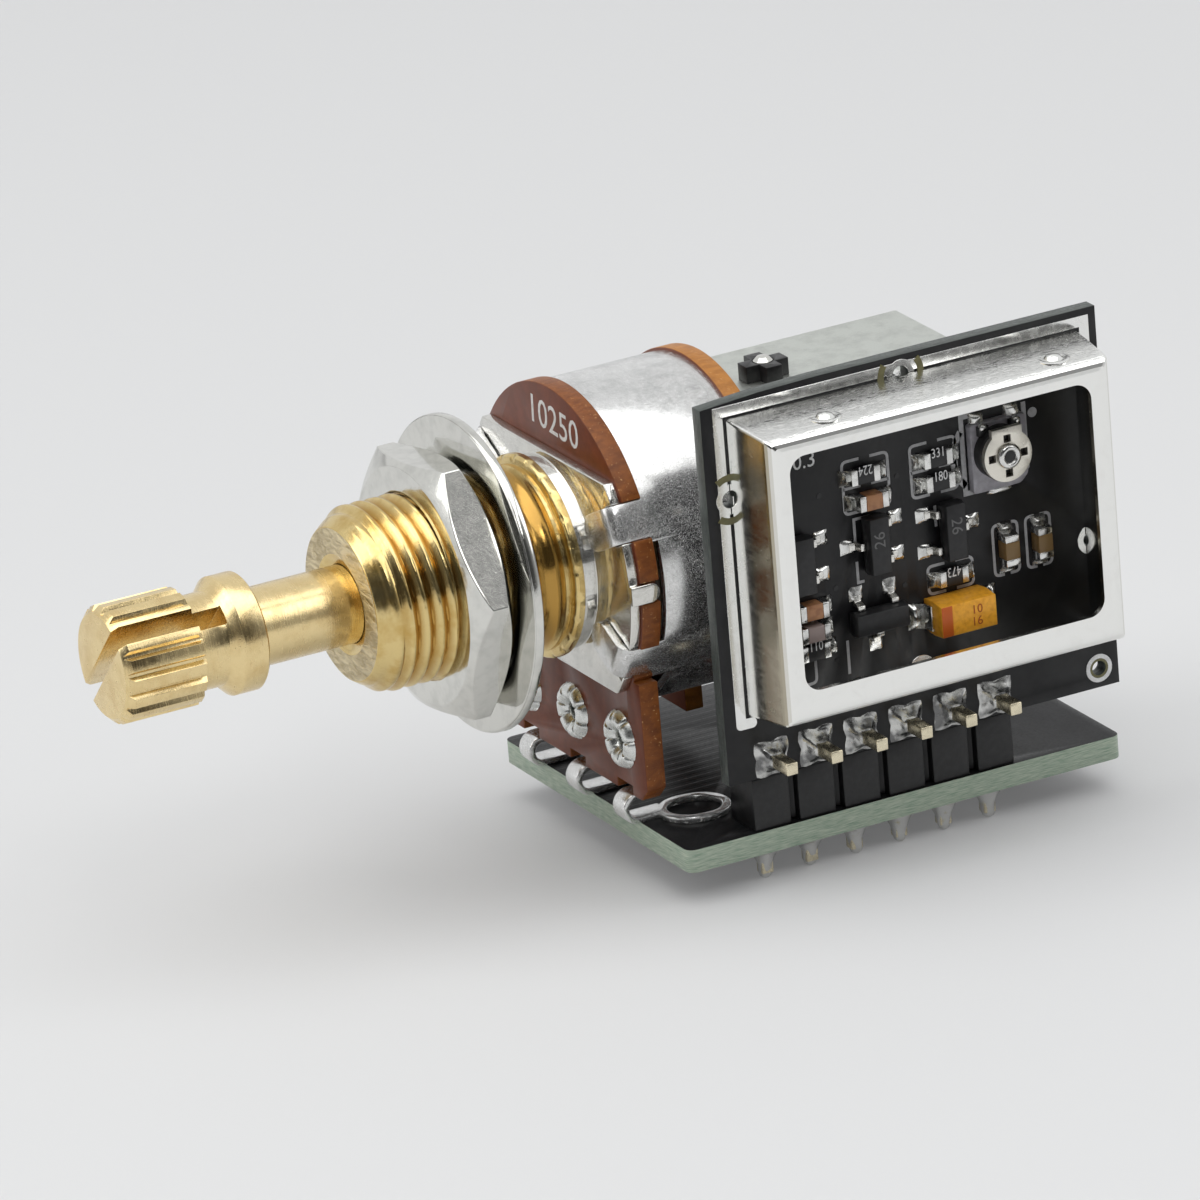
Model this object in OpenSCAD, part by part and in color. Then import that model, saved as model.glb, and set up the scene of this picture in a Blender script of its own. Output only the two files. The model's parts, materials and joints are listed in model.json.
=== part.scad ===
// Push-pull rotary potentiometer with a shielded circuit board.
// The shaft lies along X with its tip at -X, and the origin is where the bush's shoulder meets the panel.
// The shaft is drawn pulled out, and it slides towards +X when it is pushed in.

/* [Shaft] */
// Radius of the plain neck between the collar and the bush
shaft_r = 2.0; // [1.7:0.1:2.3]
// Length of neck that shows when the shaft is pulled out
neck_out = 5.4; // [5.3:0.1:8]
// How far the shaft is pushed in
travel = 5.0; // [4:0.1:5.1]
// Radius over the knurled end and the collar
knurl_r = 3.0; // [2.8:0.05:3.4]
// Length of the knurled end
knurl_len = 4.47; // [4:0.1:7]
// Number of teeth round the knurled end
knurl_teeth = 18; // [16:2:24]
// Depth of the knurl's grooves
knurl_depth = 0.28; // [0.15:0.01:0.35]
// Chamfer at the tip
tip_chamfer = 0.37; // [0.2:0.01:0.5]
// Radius of the waist behind the knurl
waist_r = 2.4; // [2.3:0.05:2.6]
// Length of the waist
waist_len = 1.38; // [1:0.1:2]
// Length of the collar's bevel
collar_bevel = 0.57; // [0.3:0.05:0.8]
// Length of the collar
collar_len = 1.28; // [1:0.1:2]
// Width of the slot that splits the knurled end
slot_w = 1.0; // [0.8:0.1:1.2]
// Depth of the slot from the tip
slot_len = 5.95; // [5:0.1:7]
// Turn of the slot about the shaft
slot_turn = 134; // [0:1:180]
// Radial clearance of the shaft in the bush
shaft_play = 0.03; // [0.02:0.01:0.08]
// Width across the two flats that drive the rotor
flat_w = 2.6; // [2.2:0.1:3.0]

/* [Bush] */
// Length of the bush in front of its shoulder
bush_out = 10.3; // [9:0.1:13]
// Outer radius of the bush's thread
bush_r = 4.75; // [4.6:0.05:4.9]
// Radius of the flat end face
bush_face_r = 3.9; // [3.7:0.05:4.2]
// Length of the chamfer behind the end face
bush_chamfer = 1.18; // [0.8:0.01:1.4]
// Radius of the shoulder ring
ring_r = 5.2; // [5.1:0.05:5.5]
// Thickness of the shoulder ring
ring_t = 0.55; // [0.5:0.05:1]
// Number of notches round the shoulder ring
ring_notches = 24; // [12:2:30]
// Depth of the relief behind the thread
relief_depth = 0.5; // [0.3:0.05:0.8]
// Length of the relief behind the thread
relief_len = 1.5; // [1:0.1:2]
// Width of the plain land between the relief and the shoulder
land_w = 0.35; // [0.2:0.05:0.6]
// Radius of the spigot that holds the plate and the wafer
spigot_r = 3.4; // [3.2:0.1:3.8]

/* [Nut and washer] */
// Wall of the nut from the bush's thread to its flats
nut_wall = 1.6; // [1.3:0.05:2]
// Depth to which the nut's thread bites into the bush's
nut_bite = 0.2; // [0.1:0.05:0.3]
// Thickness of the nut
nut_t = 2.35; // [2:0.05:3]
// Front face of the nut in front of the shoulder
nut_place = 6.35; // [6.2:0.05:8]
// Turn of the nut's corners about the shaft
nut_turn = 55; // [0:1:60]
// Radius of the washer
washer_r = 8.05; // [7.5:0.05:9]
// Thickness of the washer
washer_t = 0.5; // [0.4:0.05:0.6]
// Middle of the washer in front of the shoulder
washer_place = 3.5; // [3.4:0.05:3.55]
// Tilt of the washer on the bush
washer_tilt = 1.6; // [0:0.1:1.8]

/* [Potentiometer body] */
// Radius of the can
can_r = 8.35; // [8:0.05:9]
// Thickness of the can's sheet
can_t = 0.4; // [0.3:0.05:0.5]
// Length of the can between the two wafers
can_len = 6.5; // [6.2:0.1:8]
// Height of the front plate's boss
boss_h = 0.8; // [0.6:0.1:1.2]
// Radius of the front plate's boss
boss_r = 4.95; // [4.8:0.05:5.05]
// Thickness of the front plate
plate_t = 0.55; // [0.4:0.05:0.7]
// Top edge of the front plate
plate_top = 5.3; // [5:0.1:6]
// Bottom edge of the front plate
plate_bottom = 5.8; // [5:0.1:6]
// Thickness of the front wafer
wafer_t = 1.05; // [0.8:0.05:1.2]
// Radius of the wafers
wafer_r = 8.5; // [8.4:0.05:8.8]
// Half width of the front wafer's tongue
tongue_half = 7.4; // [7:0.1:8]
// Bottom of the front wafer's tongue under the shaft
tongue_drop = 11.4; // [11:0.1:12]
// Pitch of the three lugs
lug_pitch = 5.0; // [4.8:0.1:5.2]
// Width of a lug
lug_w = 1.2; // [1.0:0.1:1.5]
// Thickness of the lugs
lug_t = 0.35; // [0.3:0.05:0.5]
// Height of the lugs' rivets under the shaft
rivet_drop = 8.63; // [8.5:0.01:9]
// Radius of a rivet's head
rivet_r = 1.45; // [1.2:0.05:1.6]
// Width of the fingers that hold the front plate
finger_w = 1.9; // [1.5:0.1:2.2]
// Outer radius of the fingers' bend
finger_bend = 0.8; // [0.5:0.05:1]
// Angle of the upper finger of a pair above the horizontal
finger_high = 25; // [24:1:32]
// Angle of the lower finger of a pair under the horizontal
finger_low = 28; // [24:1:32]
// Radius that the fingers' tips reach in to
finger_tip_r = 5.45; // [5.3:0.05:6]
// Thickness of the rear wafer
rear_t = 1.0; // [0.8:0.1:1.4]
// Radius of the rotor
rotor_r = 7.2; // [6.8:0.1:7.6]
// Thickness of the rotor's disc
rotor_t = 2.2; // [1.8:0.1:2.4]

/* [Switch] */
// Length of the switch frame
frame_len = 13.55; // [13.4:0.1:16]
// Half width of the switch frame
frame_half = 5.0; // [4.8:0.1:6]
// Top of the switch frame above the shaft
frame_top = 6.18; // [5.5:0.02:7]
// Thickness of the switch frame's sheet
frame_t = 0.5; // [0.4:0.1:0.8]
// Outer radius of the switch frame's bends
frame_bend = 0.7; // [0.6:0.05:1]
// Top of the switch base under the shaft
base_drop = 7.2; // [7:0.1:7.6]
// Thickness of the switch base
base_t = 1.5; // [1.2:0.1:1.6]
// Pitch of the switch contacts along the shaft
contact_pitch = 4.0; // [3.8:0.1:4.2]
// Half the distance between the two rows of contacts
contact_row = 2.5; // [2.3:0.1:2.8]
// Length of the slider
slider_len = 5.6; // [5.4:0.1:6]

/* [Lower board] */
// Front edge of the lower board behind the front plate
lower_start = 0.44; // [0.3:0.02:0.8]
// Length of the lower board
lower_len = 24.69; // [24.5:0.1:28]
// Width of the lower board in front of the shaft's plane
lower_front = 10.47; // [10.4:0.05:12]
// Width of the lower board behind the shaft's plane
lower_back = 9.19; // [8.5:0.05:11]
// Top of the lower board under the shaft
lower_drop = 13.05; // [12.8:0.05:13.5]
// Thickness of the lower board
lower_t = 1.2; // [1:0.1:1.6]
// Length of the solder tails under the lower board
tail_len = 1.83; // [1.5:0.05:2.2]

/* [Header] */
// Number of pins
pin_count = 6; // [4:1:6]
// Pitch of the pins
pin_pitch = 2.54; // [2.5:0.01:2.6]
// Side of a square pin
pin_w = 0.64; // [0.5:0.02:0.7]
// Middle of the first pin from the vertical board's front end
pin_start = 2.456; // [2.3:0.02:2.6]
// Distance of the pins' row from the shaft's plane
pin_row = 9.07; // [9:0.01:9.1]
// Width of the header's block
block_w = 2.5; // [2.3:0.05:2.54]
// How far the pins stand out of the vertical board
pin_out = 2.16; // [1.8:0.05:2.5]
// Height of the pins' holes above the lower board
pin_rise = 3.88; // [3.7:0.02:4.2]

/* [Vertical board] */
// Length of the vertical board
upright_len = 22.27; // [22:0.05:24]
// Height of the vertical board
upright_h = 19.95; // [19.5:0.05:22]
// Thickness of the vertical board
upright_t = 0.8; // [0.6:0.1:1]
// How far the vertical board's top edge drops at its front corner
upright_dip = 0.3; // [0.1:0.05:0.4]
// Outer face of the vertical board from the shaft's plane
upright_face = 10.68; // [10.6:0.02:11]
// Gap between the vertical board and the header's block
upright_gap = 0.15; // [0.1:0.05:0.4]

/* [Shield] */
// Length of the shield at its foot
shield_len = 19.9; // [19.8:0.1:20.2]
// Middle of the shield from the vertical board's rear end
shield_place = 11.03; // [10.8:0.01:11.2]
// Middle of the shield above the vertical board's lower edge
shield_rise = 11.18; // [11:0.02:11.4]
// Height of the shield at its foot
shield_h = 15.54; // [15.3:0.02:16]
// How far the shield stands out of the board
shield_out = 3.8; // [3.4:0.1:5]
// How far the shield draws in from foot to front
shield_taper = 0.3; // [0.1:0.05:0.5]
// Thickness of the shield's sheet
shield_t = 0.3; // [0.2:0.05:0.4]
// Outer radius of the bend round the shield's front
shield_bend = 0.6; // [0.4:0.05:0.8]
// Rim of the shield above its window
rim_top = 1.34; // [1.2:0.02:1.6]
// Rim of the shield under its window
rim_bottom = 2.0; // [1.6:0.05:2.2]
// Rim of the shield at the window's front end
rim_front = 1.4; // [1.2:0.05:1.6]
// Rim of the shield at the window's rear end
rim_rear = 1.55; // [1.3:0.05:1.7]
// Corner radius of the window
window_r = 0.9; // [0.5:0.1:1.5]
// Width of the tinned track round the shield
track_w = 0.55; // [0.3:0.05:0.6]
// Radius of the tinned rings round the holes that anchor the shield
anchor_ring_r = 0.78; // [0.7:0.02:0.85]
// Radius of the holes that anchor the shield
anchor_hole_r = 0.45; // [0.42:0.01:0.5]

/* [Small parts] */
// Length of a chip resistor or capacitor
chip_len = 1.6; // [1.5:0.05:1.7]
// Width of a chip resistor or capacitor
chip_w = 0.8; // [0.7:0.05:0.85]
// Height of a chip resistor
resistor_h = 0.45; // [0.35:0.05:0.6]
// Height of a chip capacitor
capacitor_h = 0.8; // [0.6:0.05:0.9]
// Length of a transistor's body
transistor_len = 2.9; // [2.7:0.1:3.0]
// Width of a transistor's body
transistor_w = 1.3; // [1.2:0.1:1.4]
// Height of a transistor's body
transistor_h = 1.0; // [0.9:0.05:1.1]
// Length of the tantalum capacitor's body
tantalum_len = 3.1; // [3:0.05:3.3]
// Width of the tantalum capacitor's body
tantalum_w = 1.8; // [1.6:0.05:1.9]
// Height of the tantalum capacitor's body
tantalum_h = 1.8; // [1.6:0.05:1.9]
// Side of the trimmer's base
trimmer_w = 3.1; // [3:0.1:3.3]
// Height of the trimmer's base
trimmer_h = 1.1; // [1:0.05:1.2]
// Radius of the trimmer's turning disc
trimmer_r = 1.35; // [1.2:0.05:1.45]

/* [Hidden] */
$fn = 64;
// Clearance between pieces that are fixed together, and slack for cuts that run out of a face
seat = 0.05;
over = 1;

// Places along the shaft, from the tip to the bush's end face
x_face = -bush_out;
x_collar_back = x_face - neck_out;
x_collar = x_collar_back - collar_len;
x_waist_back = x_collar - collar_bevel;
x_waist = x_waist_back - waist_len;
x_tip = x_waist - knurl_len;

// Places of the potentiometer's plates, from the shoulder to the switch
x_plate = ring_t + boss_h;
x_wafer = x_plate + plate_t;
x_can = x_wafer + wafer_t;
x_rear = x_can + can_len;
x_frame = x_rear + rear_t;
x_frame_end = x_frame + frame_len;
x_bush_end = x_can + lug_t;

// Nut and washer
nut_flat_r = bush_r + nut_wall;
nut_corner_r = nut_flat_r / cos(30);
nut_face_r = nut_flat_r - 0.3;
nut_bevel = (nut_corner_r - nut_face_r) * tan(30);
nut_bore_r = bush_r - nut_bite + seat;
nut_run = 0.15;
x_nut = -nut_place;
x_nut_back = x_nut + nut_t;

// Locating tab of the front plate
tab_half = 0.5;
tab_t = 0.45;
tab_len = plate_t + wafer_t - 0.05;

// Rotor and wiper
track_t = 0.1;
track_in = 4.6;
track_out = 6.4;
wiper_gap = 0.1;
wiper_in = 4.8;
wiper_out = 6.2;
wiper_t = 0.25;
x_rotor = x_can + lug_t + 0.9;
hub_r = 3.4;
hub_len = 1.4;
drive_r = shaft_r - 0.1;
drive_play = 0.05;

// Shaft inside the switch
x_drive = x_rotor - travel - 0.3;
fork_t = 0.8;
fork_play = 0.08;
x_fork = x_frame + frame_t + 1.6;
neck_groove_r = 1.0;
head_len = 0.8;

// Switch
frame_inner = frame_half - frame_t;
z_base = -base_drop;
contact_h = 0.25;
bridge_t = 0.2;
bridge_gap = 0.1;
slider_side = 0.2;
slider_h = 2.2;
z_slider = z_base + contact_h + bridge_gap + bridge_t;
x_slider = x_fork - 0.5;
terminal_x = 0.8;
terminal_y = 0.5;
x_contact = x_frame + frame_len / 2 - 0.2;
tab_h = 0.4;
z_frame = z_base - base_t - seat - tab_h;
frame_tab = 1.0;
boss_place = x_frame + 3.5;
boss_arm = 2.4;
boss_w = 0.9;
boss_top = 0.9;
pin_r = 0.5;
fork_half = 2.4;
fork_top = 1.8;
spring_t = 0.2;
spring_w = 1.6;
z_spring = frame_top - frame_t - seat;
spring_drop = z_spring - fork_top - 0.12;

// Lower board
x_lower = x_wafer + lower_start;
z_lower = -lower_drop;
z_lower_bottom = z_lower - lower_t;
z_tail = z_lower_bottom - tail_len;
x_lower_end = x_lower + lower_len;

// Lugs: the round bend in front of the wafer, and the eyelet of the right one
tongue_top = 5.1;
lug_bend_r = 0.82;
z_lug_high = z_lower + 2 * lug_bend_r;
lug_top = -rivet_drop + 1.3;
x_lug_bend = x_wafer + 0.32;
rivet_hole_r = 0.75;
rivet_petals = 6;
petal_gap = 0.16;
eyelet_place = [x_lower + 2.86, -lug_pitch - 0.85];
eyelet_turn = -10;
eyelet_half = 1.85;
eyelet_r = 1.65;
eyelet_wire = 0.45;

// Vertical board
x_upright_end = x_lower_end;
x_upright = x_upright_end - upright_len;
y_face = -upright_face;
y_inner = y_face + upright_t;
block_h = 2.75;
z_upright = z_lower + block_h + upright_gap;
z_pin = z_lower + pin_rise;
x_pin = x_upright + pin_start;
pin_hole_r = 0.5;
pad_half = 0.88;
pad_h = 1.65;
pad_t = 0.12;
corner_hole_r = 0.38;
corner_hole = 1.12;
solder_h = 0.55;
block_notch = 0.5;
trimmer_spigot_r = 0.45;
disc_t = 0.3;
hub_foot_r = 0.6;
spigot_len = 0.55;
spigot_room = 0.05;
hub_rise = 0.18;
ear_half = 0.85;
slot_in = 0.7;

// Shield and what it holds
x_shield = x_upright_end - shield_place;
z_shield = z_upright + shield_rise;
window_len = shield_len - rim_front - rim_rear;
window_h = shield_h - rim_top - rim_bottom;
z_window = z_shield + (rim_bottom - rim_top) / 2;
x_window = x_shield + (rim_front - rim_rear) / 2;
shield_corner_r = 0.15;
foil_t = 0.05;
track_gap = 0.1;
track_hook = 0.5;
track_turn = 0.9;
dip_len = 6.5;
// Turn, distance from the shield's middle and shift along its side of each anchor
anchors = [[90, shield_h / 2, 0.08], [180, shield_len / 2, -3.61], [0, shield_len / 2, -3.28],
    [270, shield_h / 2, -0.06]];
anchor_tab = 0.44;
// Places of the two domes on the shield's top, along it from its middle, and their distance from its front
dome_places = [-5.65, 7.2];
dome_back = 1.45;
dome_r = 0.45;

// Middles of the chips from the middle of the window: x, z, and 1 where the chip stands upright
resistor_places = [[-2.53, 2.85, 0], [1.57, 2.75, 0], [1.62, 1.5, 0], [1.99, -3.57, 0], [-5.98, -5.6, 0]];
capacitor_places = [[-2.33, 1.53, 0], [5.17, -2.85, 1], [7.05, -2.9, 1], [-6.08, -3.35, 0], [-6.08, -4.5, 0]];
// Middles of the transistors from the middle of the window: x, z and turn
transistor_places = [[-2.28, -0.75, 90], [2.02, -1.05, 270], [-2.43, -4.65, 180], [-6.5, -0.85, 90]];
tantalum_place = [1.92, -5.22];
trimmer_place = [4.91, 2.42];
x_trimmer = x_window + trimmer_place[0];
z_trimmer = z_window + trimmer_place[1];
end_len = 0.35;
fillet = 0.3;

// Turns a profile of radius and place about the shaft's axis
module turned(profile) rotate([0, 90, 0]) rotate_extrude() polygon(profile);

// Stands an outline of Y and Z at x, with its thickness towards +X
module sheet_yz(x, t) translate([x, 0, 0]) rotate([90, 0, 90]) linear_extrude(t) children();

// Stands an outline of X and Z across the shaft's plane, w wide
module strip_xz(y, w) translate([0, y, 0]) rotate([90, 0, 0]) linear_extrude(w, center = true) children();

// Puts a piece that is modelled lying flat on the vertical board's outer face, turned in that face
module on_face(x, z, turn = 0) translate([x, y_face, z]) rotate([90, 0, 0]) rotate(turn) children();

// Lays an outline of X and Z on the vertical board's outer face, h high
module on_board(x, z, h) on_face(x, z) linear_extrude(h) children();

// Rectangle with round corners about its middle
module round_rect(w, h, r) {
    square([w - 2 * r, h], center = true);
    square([w, h - 2 * r], center = true);
    for (sx = [-1, 1], sy = [-1, 1]) translate([sx * (w / 2 - r), sy * (h / 2 - r)]) circle(r, $fn = 32);
}

// Outline of the knurled end: crests on knurl_r, grooves knurl_depth deep
module knurl_outline() {
    step = 360 / knurl_teeth;
    root = knurl_r - knurl_depth;
    polygon([for (i = [0:knurl_teeth - 1], k = [0:3])
        let (a = (i + [0, 0.55, 0.7, 0.85][k]) * step, r = [knurl_r, knurl_r, root, root][k])
        [r * cos(a), r * sin(a)]]);
}

module shaft() color("gold") difference() {
    union() {
        intersection() {
            sheet_yz(x_tip, knurl_len) knurl_outline();
            turned([[0, x_tip], [knurl_r - tip_chamfer, x_tip], [knurl_r, x_tip + tip_chamfer],
                [knurl_r, x_waist - 0.2], [waist_r, x_waist], [0, x_waist]]);
        }
        turned([[0, x_waist], [waist_r, x_waist], [waist_r, x_waist_back], [knurl_r, x_collar],
            [knurl_r, x_collar_back - 0.1], [knurl_r - 0.1, x_collar_back], [shaft_r, x_collar_back],
            [shaft_r, x_drive], [0, x_drive]]);
        intersection() {
            turned([[0, x_drive], [drive_r, x_drive], [drive_r, x_fork - fork_play],
                [neck_groove_r, x_fork - fork_play], [neck_groove_r, x_fork + fork_t + fork_play],
                [drive_r, x_fork + fork_t + fork_play],
                [drive_r, x_fork + fork_t + fork_play + head_len - 0.2],
                [drive_r - 0.2, x_fork + fork_t + fork_play + head_len],
                [0, x_fork + fork_t + fork_play + head_len]]);
            translate([x_drive, -flat_w / 2, -shaft_r])
                cube([x_fork + fork_t + fork_play + head_len - x_drive, flat_w, 2 * shaft_r]);
        }
    }
    rotate([slot_turn, 0, 0]) translate([x_tip - over, -knurl_r - over, -slot_w / 2])
        cube([slot_len + over, 2 * (knurl_r + over), slot_w]);
}

module bush() color("goldenrod") difference() {
    turned([[shaft_r + shaft_play + 0.45, x_face], [bush_face_r, x_face], [bush_r, x_face + bush_chamfer],
        // Where the nut sits, its thread and the bush's meet half way down
        [bush_r, x_nut - nut_run], [bush_r - nut_bite, x_nut - nut_run],
        [bush_r - nut_bite, x_nut_back + nut_run], [bush_r, x_nut_back + nut_run],
        [bush_r, -land_w - relief_len],
        for (a = [15:15:165]) [bush_r - relief_depth * sin(a), -land_w - relief_len * (1 + cos(a)) / 2],
        [bush_r, -land_w], [bush_r, 0], [ring_r - 0.15, 0], [ring_r, 0.15], [ring_r, ring_t],
        [spigot_r, ring_t], [spigot_r, x_bush_end],
        [shaft_r + shaft_play, x_bush_end], [shaft_r + shaft_play, x_face + 0.6]]);
    for (i = [0:ring_notches - 1]) rotate([i * 360 / ring_notches, 0, 0])
        translate([-over, -0.16, ring_r - 0.14]) cube([over + 0.3, 0.32, over]);
}

module hex_nut() color("silver") difference() {
    intersection() {
        translate([x_nut, 0, 0]) rotate([nut_turn, 0, 0]) rotate([0, 90, 0]) rotate([0, 0, 30 + 60])
            cylinder(r = nut_corner_r, h = nut_t, $fn = 6);
        turned([[0, x_nut], [nut_face_r, x_nut], [nut_corner_r, x_nut + nut_bevel],
            [nut_corner_r, x_nut_back - nut_bevel], [nut_face_r, x_nut_back], [0, x_nut_back]]);
    }
    // Threaded bore, countersunk at both ends
    turned([[0, x_nut - over], [nut_bore_r + nut_bite, x_nut - over], [nut_bore_r + nut_bite, x_nut],
        [nut_bore_r, x_nut + nut_bite], [nut_bore_r, x_nut_back - nut_bite],
        [nut_bore_r + nut_bite, x_nut_back], [nut_bore_r + nut_bite, x_nut_back + over], [0, x_nut_back + over]]);
}

module washer() color("lightgray") translate([-washer_place, 0, 0]) rotate([0, washer_tilt, 0])
    turned([[bush_r + 0.15, -washer_t / 2], [washer_r - 0.1, -washer_t / 2], [washer_r, -washer_t / 2 + 0.1],
        [washer_r, washer_t / 2], [bush_r + 0.15, washer_t / 2]]);

// Room that the four fingers take out of the plate and the wafer
module finger_notches() for (side = [0, 180], turn = [-finger_high, finger_low]) rotate(side + turn)
    translate([can_r - finger_bend - seat, -finger_w / 2 - seat]) square([2, finger_w + 2 * seat]);

module front_plate() color("silver") {
    difference() {
        sheet_yz(x_plate, plate_t) difference() {
            intersection() {
                circle(can_r);
                translate([-can_r, -plate_bottom]) square([2 * can_r, plate_top + plate_bottom]);
            }
            finger_notches();
            circle(spigot_r + seat);
        }
    }
    sheet_yz(ring_t, boss_h) difference() {
        circle(boss_r);
        circle(spigot_r + seat);
    }
    // Locating tab with a round end, bent back into the wafer's notch
    translate([x_plate, -wafer_r - 0.1, -tab_half]) cube([plate_t, 0.6, 2 * tab_half]);
    strip_xz(-wafer_r - 0.1 + tab_t / 2, tab_t) translate([x_plate, 0]) {
        translate([0, -tab_half]) square([tab_len - tab_half, 2 * tab_half]);
        translate([tab_len - tab_half, 0]) circle(tab_half);
    }
}

module wafer_disc() difference() {
    circle(wafer_r);
    finger_notches();
}

module front_wafer() color("saddlebrown") difference() {
    sheet_yz(x_wafer, wafer_t) difference() {
        union() {
            wafer_disc();
            translate([-tongue_half, -tongue_drop]) square([2 * tongue_half, tongue_drop - tongue_top]);
        }
        circle(spigot_r + seat);
        translate([-wafer_r - over, -tab_half - seat]) square([over + tab_t, 2 * (tab_half + seat)]);
        for (i = [-1:1]) translate([i * lug_pitch - lug_w / 2 - 0.2, -tongue_drop - over])
            square([lug_w + 0.4, over + 0.5]);
        for (i = [-1:1]) translate([i * lug_pitch, -rivet_drop]) circle(rivet_hole_r + seat);
        // Chamfered corners of the tongue
        for (s = [-1, 1]) translate([s * tongue_half, -tongue_drop]) rotate(45) square(1, center = true);
    }
}

module resistive_track() color("dimgray") sheet_yz(x_can, track_t) difference() {
    circle(track_out);
    circle(track_in);
    translate([-1.6, -track_out - over]) square([3.2, track_out + over]);
}

// Side outline of a lug: down behind the wafer, forward under it, and round on to the board
module lug_outline(back) {
    translate([x_can, z_lug_high - lug_t]) square([lug_t, lug_top - z_lug_high + lug_t]);
    translate([x_lug_bend, z_lug_high - lug_t]) square([x_can - x_lug_bend, lug_t]);
    translate([x_lug_bend, z_lower]) square([back - x_lug_bend, lug_t]);
    translate([x_lug_bend, z_lower + lug_bend_r]) difference() {
        circle(lug_bend_r);
        circle(lug_bend_r - lug_t);
        translate([0, -over]) square(2 * over);
    }
}

module lug(place, back) difference() {
    union() {
        strip_xz(place, lug_w) lug_outline(back);
        sheet_yz(x_can, lug_t) translate([place, -rivet_drop]) circle(rivet_r);
    }
    sheet_yz(x_can - over, lug_t + 2 * over) translate([place, -rivet_drop]) circle(rivet_hole_r + seat);
}

// Long ring with round ends about its middle
module eyelet_outline(half_len, half_w) {
    square([2 * (half_len - half_w), 2 * half_w], center = true);
    for (s = [-1, 1]) translate([s * (half_len - half_w), 0]) circle(half_w);
}

module left_lug() color("silver") lug(lug_pitch, x_lower + 1.9);

module middle_lug() color("silver") lug(0, x_lower + 2.2);

module right_lug() color("silver") {
    difference() {
        lug(-lug_pitch, x_lug_bend + eyelet_r);
        eyelet_hole();
    }
    translate([0, 0, z_lower]) linear_extrude(lug_t) difference() {
        translate(eyelet_place) rotate(eyelet_turn) eyelet_outline(eyelet_half, eyelet_r);
        translate(eyelet_place) rotate(eyelet_turn) eyelet_outline(eyelet_half - eyelet_wire, eyelet_r - eyelet_wire);
    }
}

module eyelet_hole() translate([0, 0, z_lower - over]) linear_extrude(2 * over + lug_t)
    translate(eyelet_place) rotate(eyelet_turn) eyelet_outline(eyelet_half - eyelet_wire, eyelet_r - eyelet_wire);

module lug_rivets() color("silver") for (i = [-1:1]) translate([0, i * lug_pitch, -rivet_drop]) difference() {
    turned([[0, x_wafer - 0.35], [rivet_r - 0.5, x_wafer - 0.35], [rivet_r - 0.1, x_wafer - 0.15],
        [rivet_r, x_wafer], [rivet_hole_r, x_wafer], [rivet_hole_r, x_can + lug_t],
        [rivet_r - 0.15, x_can + lug_t], [rivet_r - 0.4, x_can + lug_t + 0.3], [0, x_can + lug_t + 0.3]]);
    turned([[0, x_wafer - over], [0.45, x_wafer - over], [0.45, x_can + lug_t + over], [0, x_can + lug_t + over]]);
    // Splits between the petals of the rolled head
    for (a = [0:360 / rivet_petals:359]) rotate([a, 0, 0]) translate([x_wafer - over, -petal_gap / 2, 0.6])
        cube([over - 0.05, petal_gap, rivet_r]);
}

// Outline of one finger, from its round tip to the can's wall
module finger_outline() {
    translate([finger_tip_r + finger_w / 2, -finger_w / 2]) square([can_r, finger_w]);
    translate([finger_tip_r + finger_w / 2, 0]) circle(finger_w / 2);
}

module can() color("silver") difference() {
    x_lip = x_plate - seat - can_t;
    x_bend = x_lip + finger_bend;
    bend_in = finger_bend - can_t;
    // The wall with its front lip, before the lip is cut back to four fingers
    turned([[finger_tip_r - over, x_lip],
        for (a = [90:-15:0]) [can_r - finger_bend + finger_bend * cos(a), x_bend - finger_bend * sin(a)],
        [can_r, x_rear], [can_r - can_t, x_rear],
        for (a = [0:15:90]) [can_r - finger_bend + bend_in * cos(a), x_bend - bend_in * sin(a)],
        [finger_tip_r - over, x_lip + can_t]]);
    sheet_yz(x_lip - over, x_can - x_lip + over) difference() {
        circle(can_r + over);
        for (side = [0, 180], turn = [-finger_high, finger_low]) rotate(side + turn) finger_outline();
    }
    // Room for the wafer's tongue, its lugs and their rivets
    translate([x_can - over, -can_r - over, -can_r - over])
        cube([over + 1.2, 2 * (can_r + over), can_r + over - tongue_top]);
    // Windows between each pair of fingers
    for (s = [-1, 1]) translate([x_can - over, s * can_r - over, -2.9]) cube([over + 0.35, 2 * over, 5.3]);
}

module rotor() color("ivory") difference() {
    turned([[0, x_rotor], [rotor_r - 0.2, x_rotor], [rotor_r, x_rotor + 0.2], [rotor_r, x_rotor + rotor_t],
        [hub_r, x_rotor + rotor_t], [hub_r, x_rotor + rotor_t + hub_len], [0, x_rotor + rotor_t + hub_len]]);
    intersection() {
        turned([[0, x_rotor - over], [drive_r + drive_play, x_rotor - over],
            [drive_r + drive_play, x_rotor + rotor_t + hub_len + over], [0, x_rotor + rotor_t + hub_len + over]]);
        translate([x_rotor - over, -flat_w / 2 - drive_play, -shaft_r - over])
            cube([rotor_t + hub_len + 2 * over, flat_w + 2 * drive_play, 2 * (shaft_r + over)]);
    }
}

module wiper() color("goldenrod") {
    sheet_yz(x_can + track_t + wiper_gap, wiper_t) for (r = [wiper_in + 0.5, wiper_out - 0.5])
        translate([-2.4, r - 0.35]) square([4.8, 0.7]);
    sheet_yz(x_can + track_t + wiper_gap, x_rotor - x_can - track_t - wiper_gap)
        translate([1.7, wiper_in]) square([0.7, wiper_out - wiper_in]);
}

module rear_wafer() color("saddlebrown") sheet_yz(x_rear, rear_t) difference() {
    union() {
        circle(wafer_r);
        for (s = [-1, 1]) translate([s * 4.2 - 1.6, -tongue_drop]) square([3.2, tongue_drop - tongue_top]);
    }
    circle(drive_r + 0.5);
}

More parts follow.
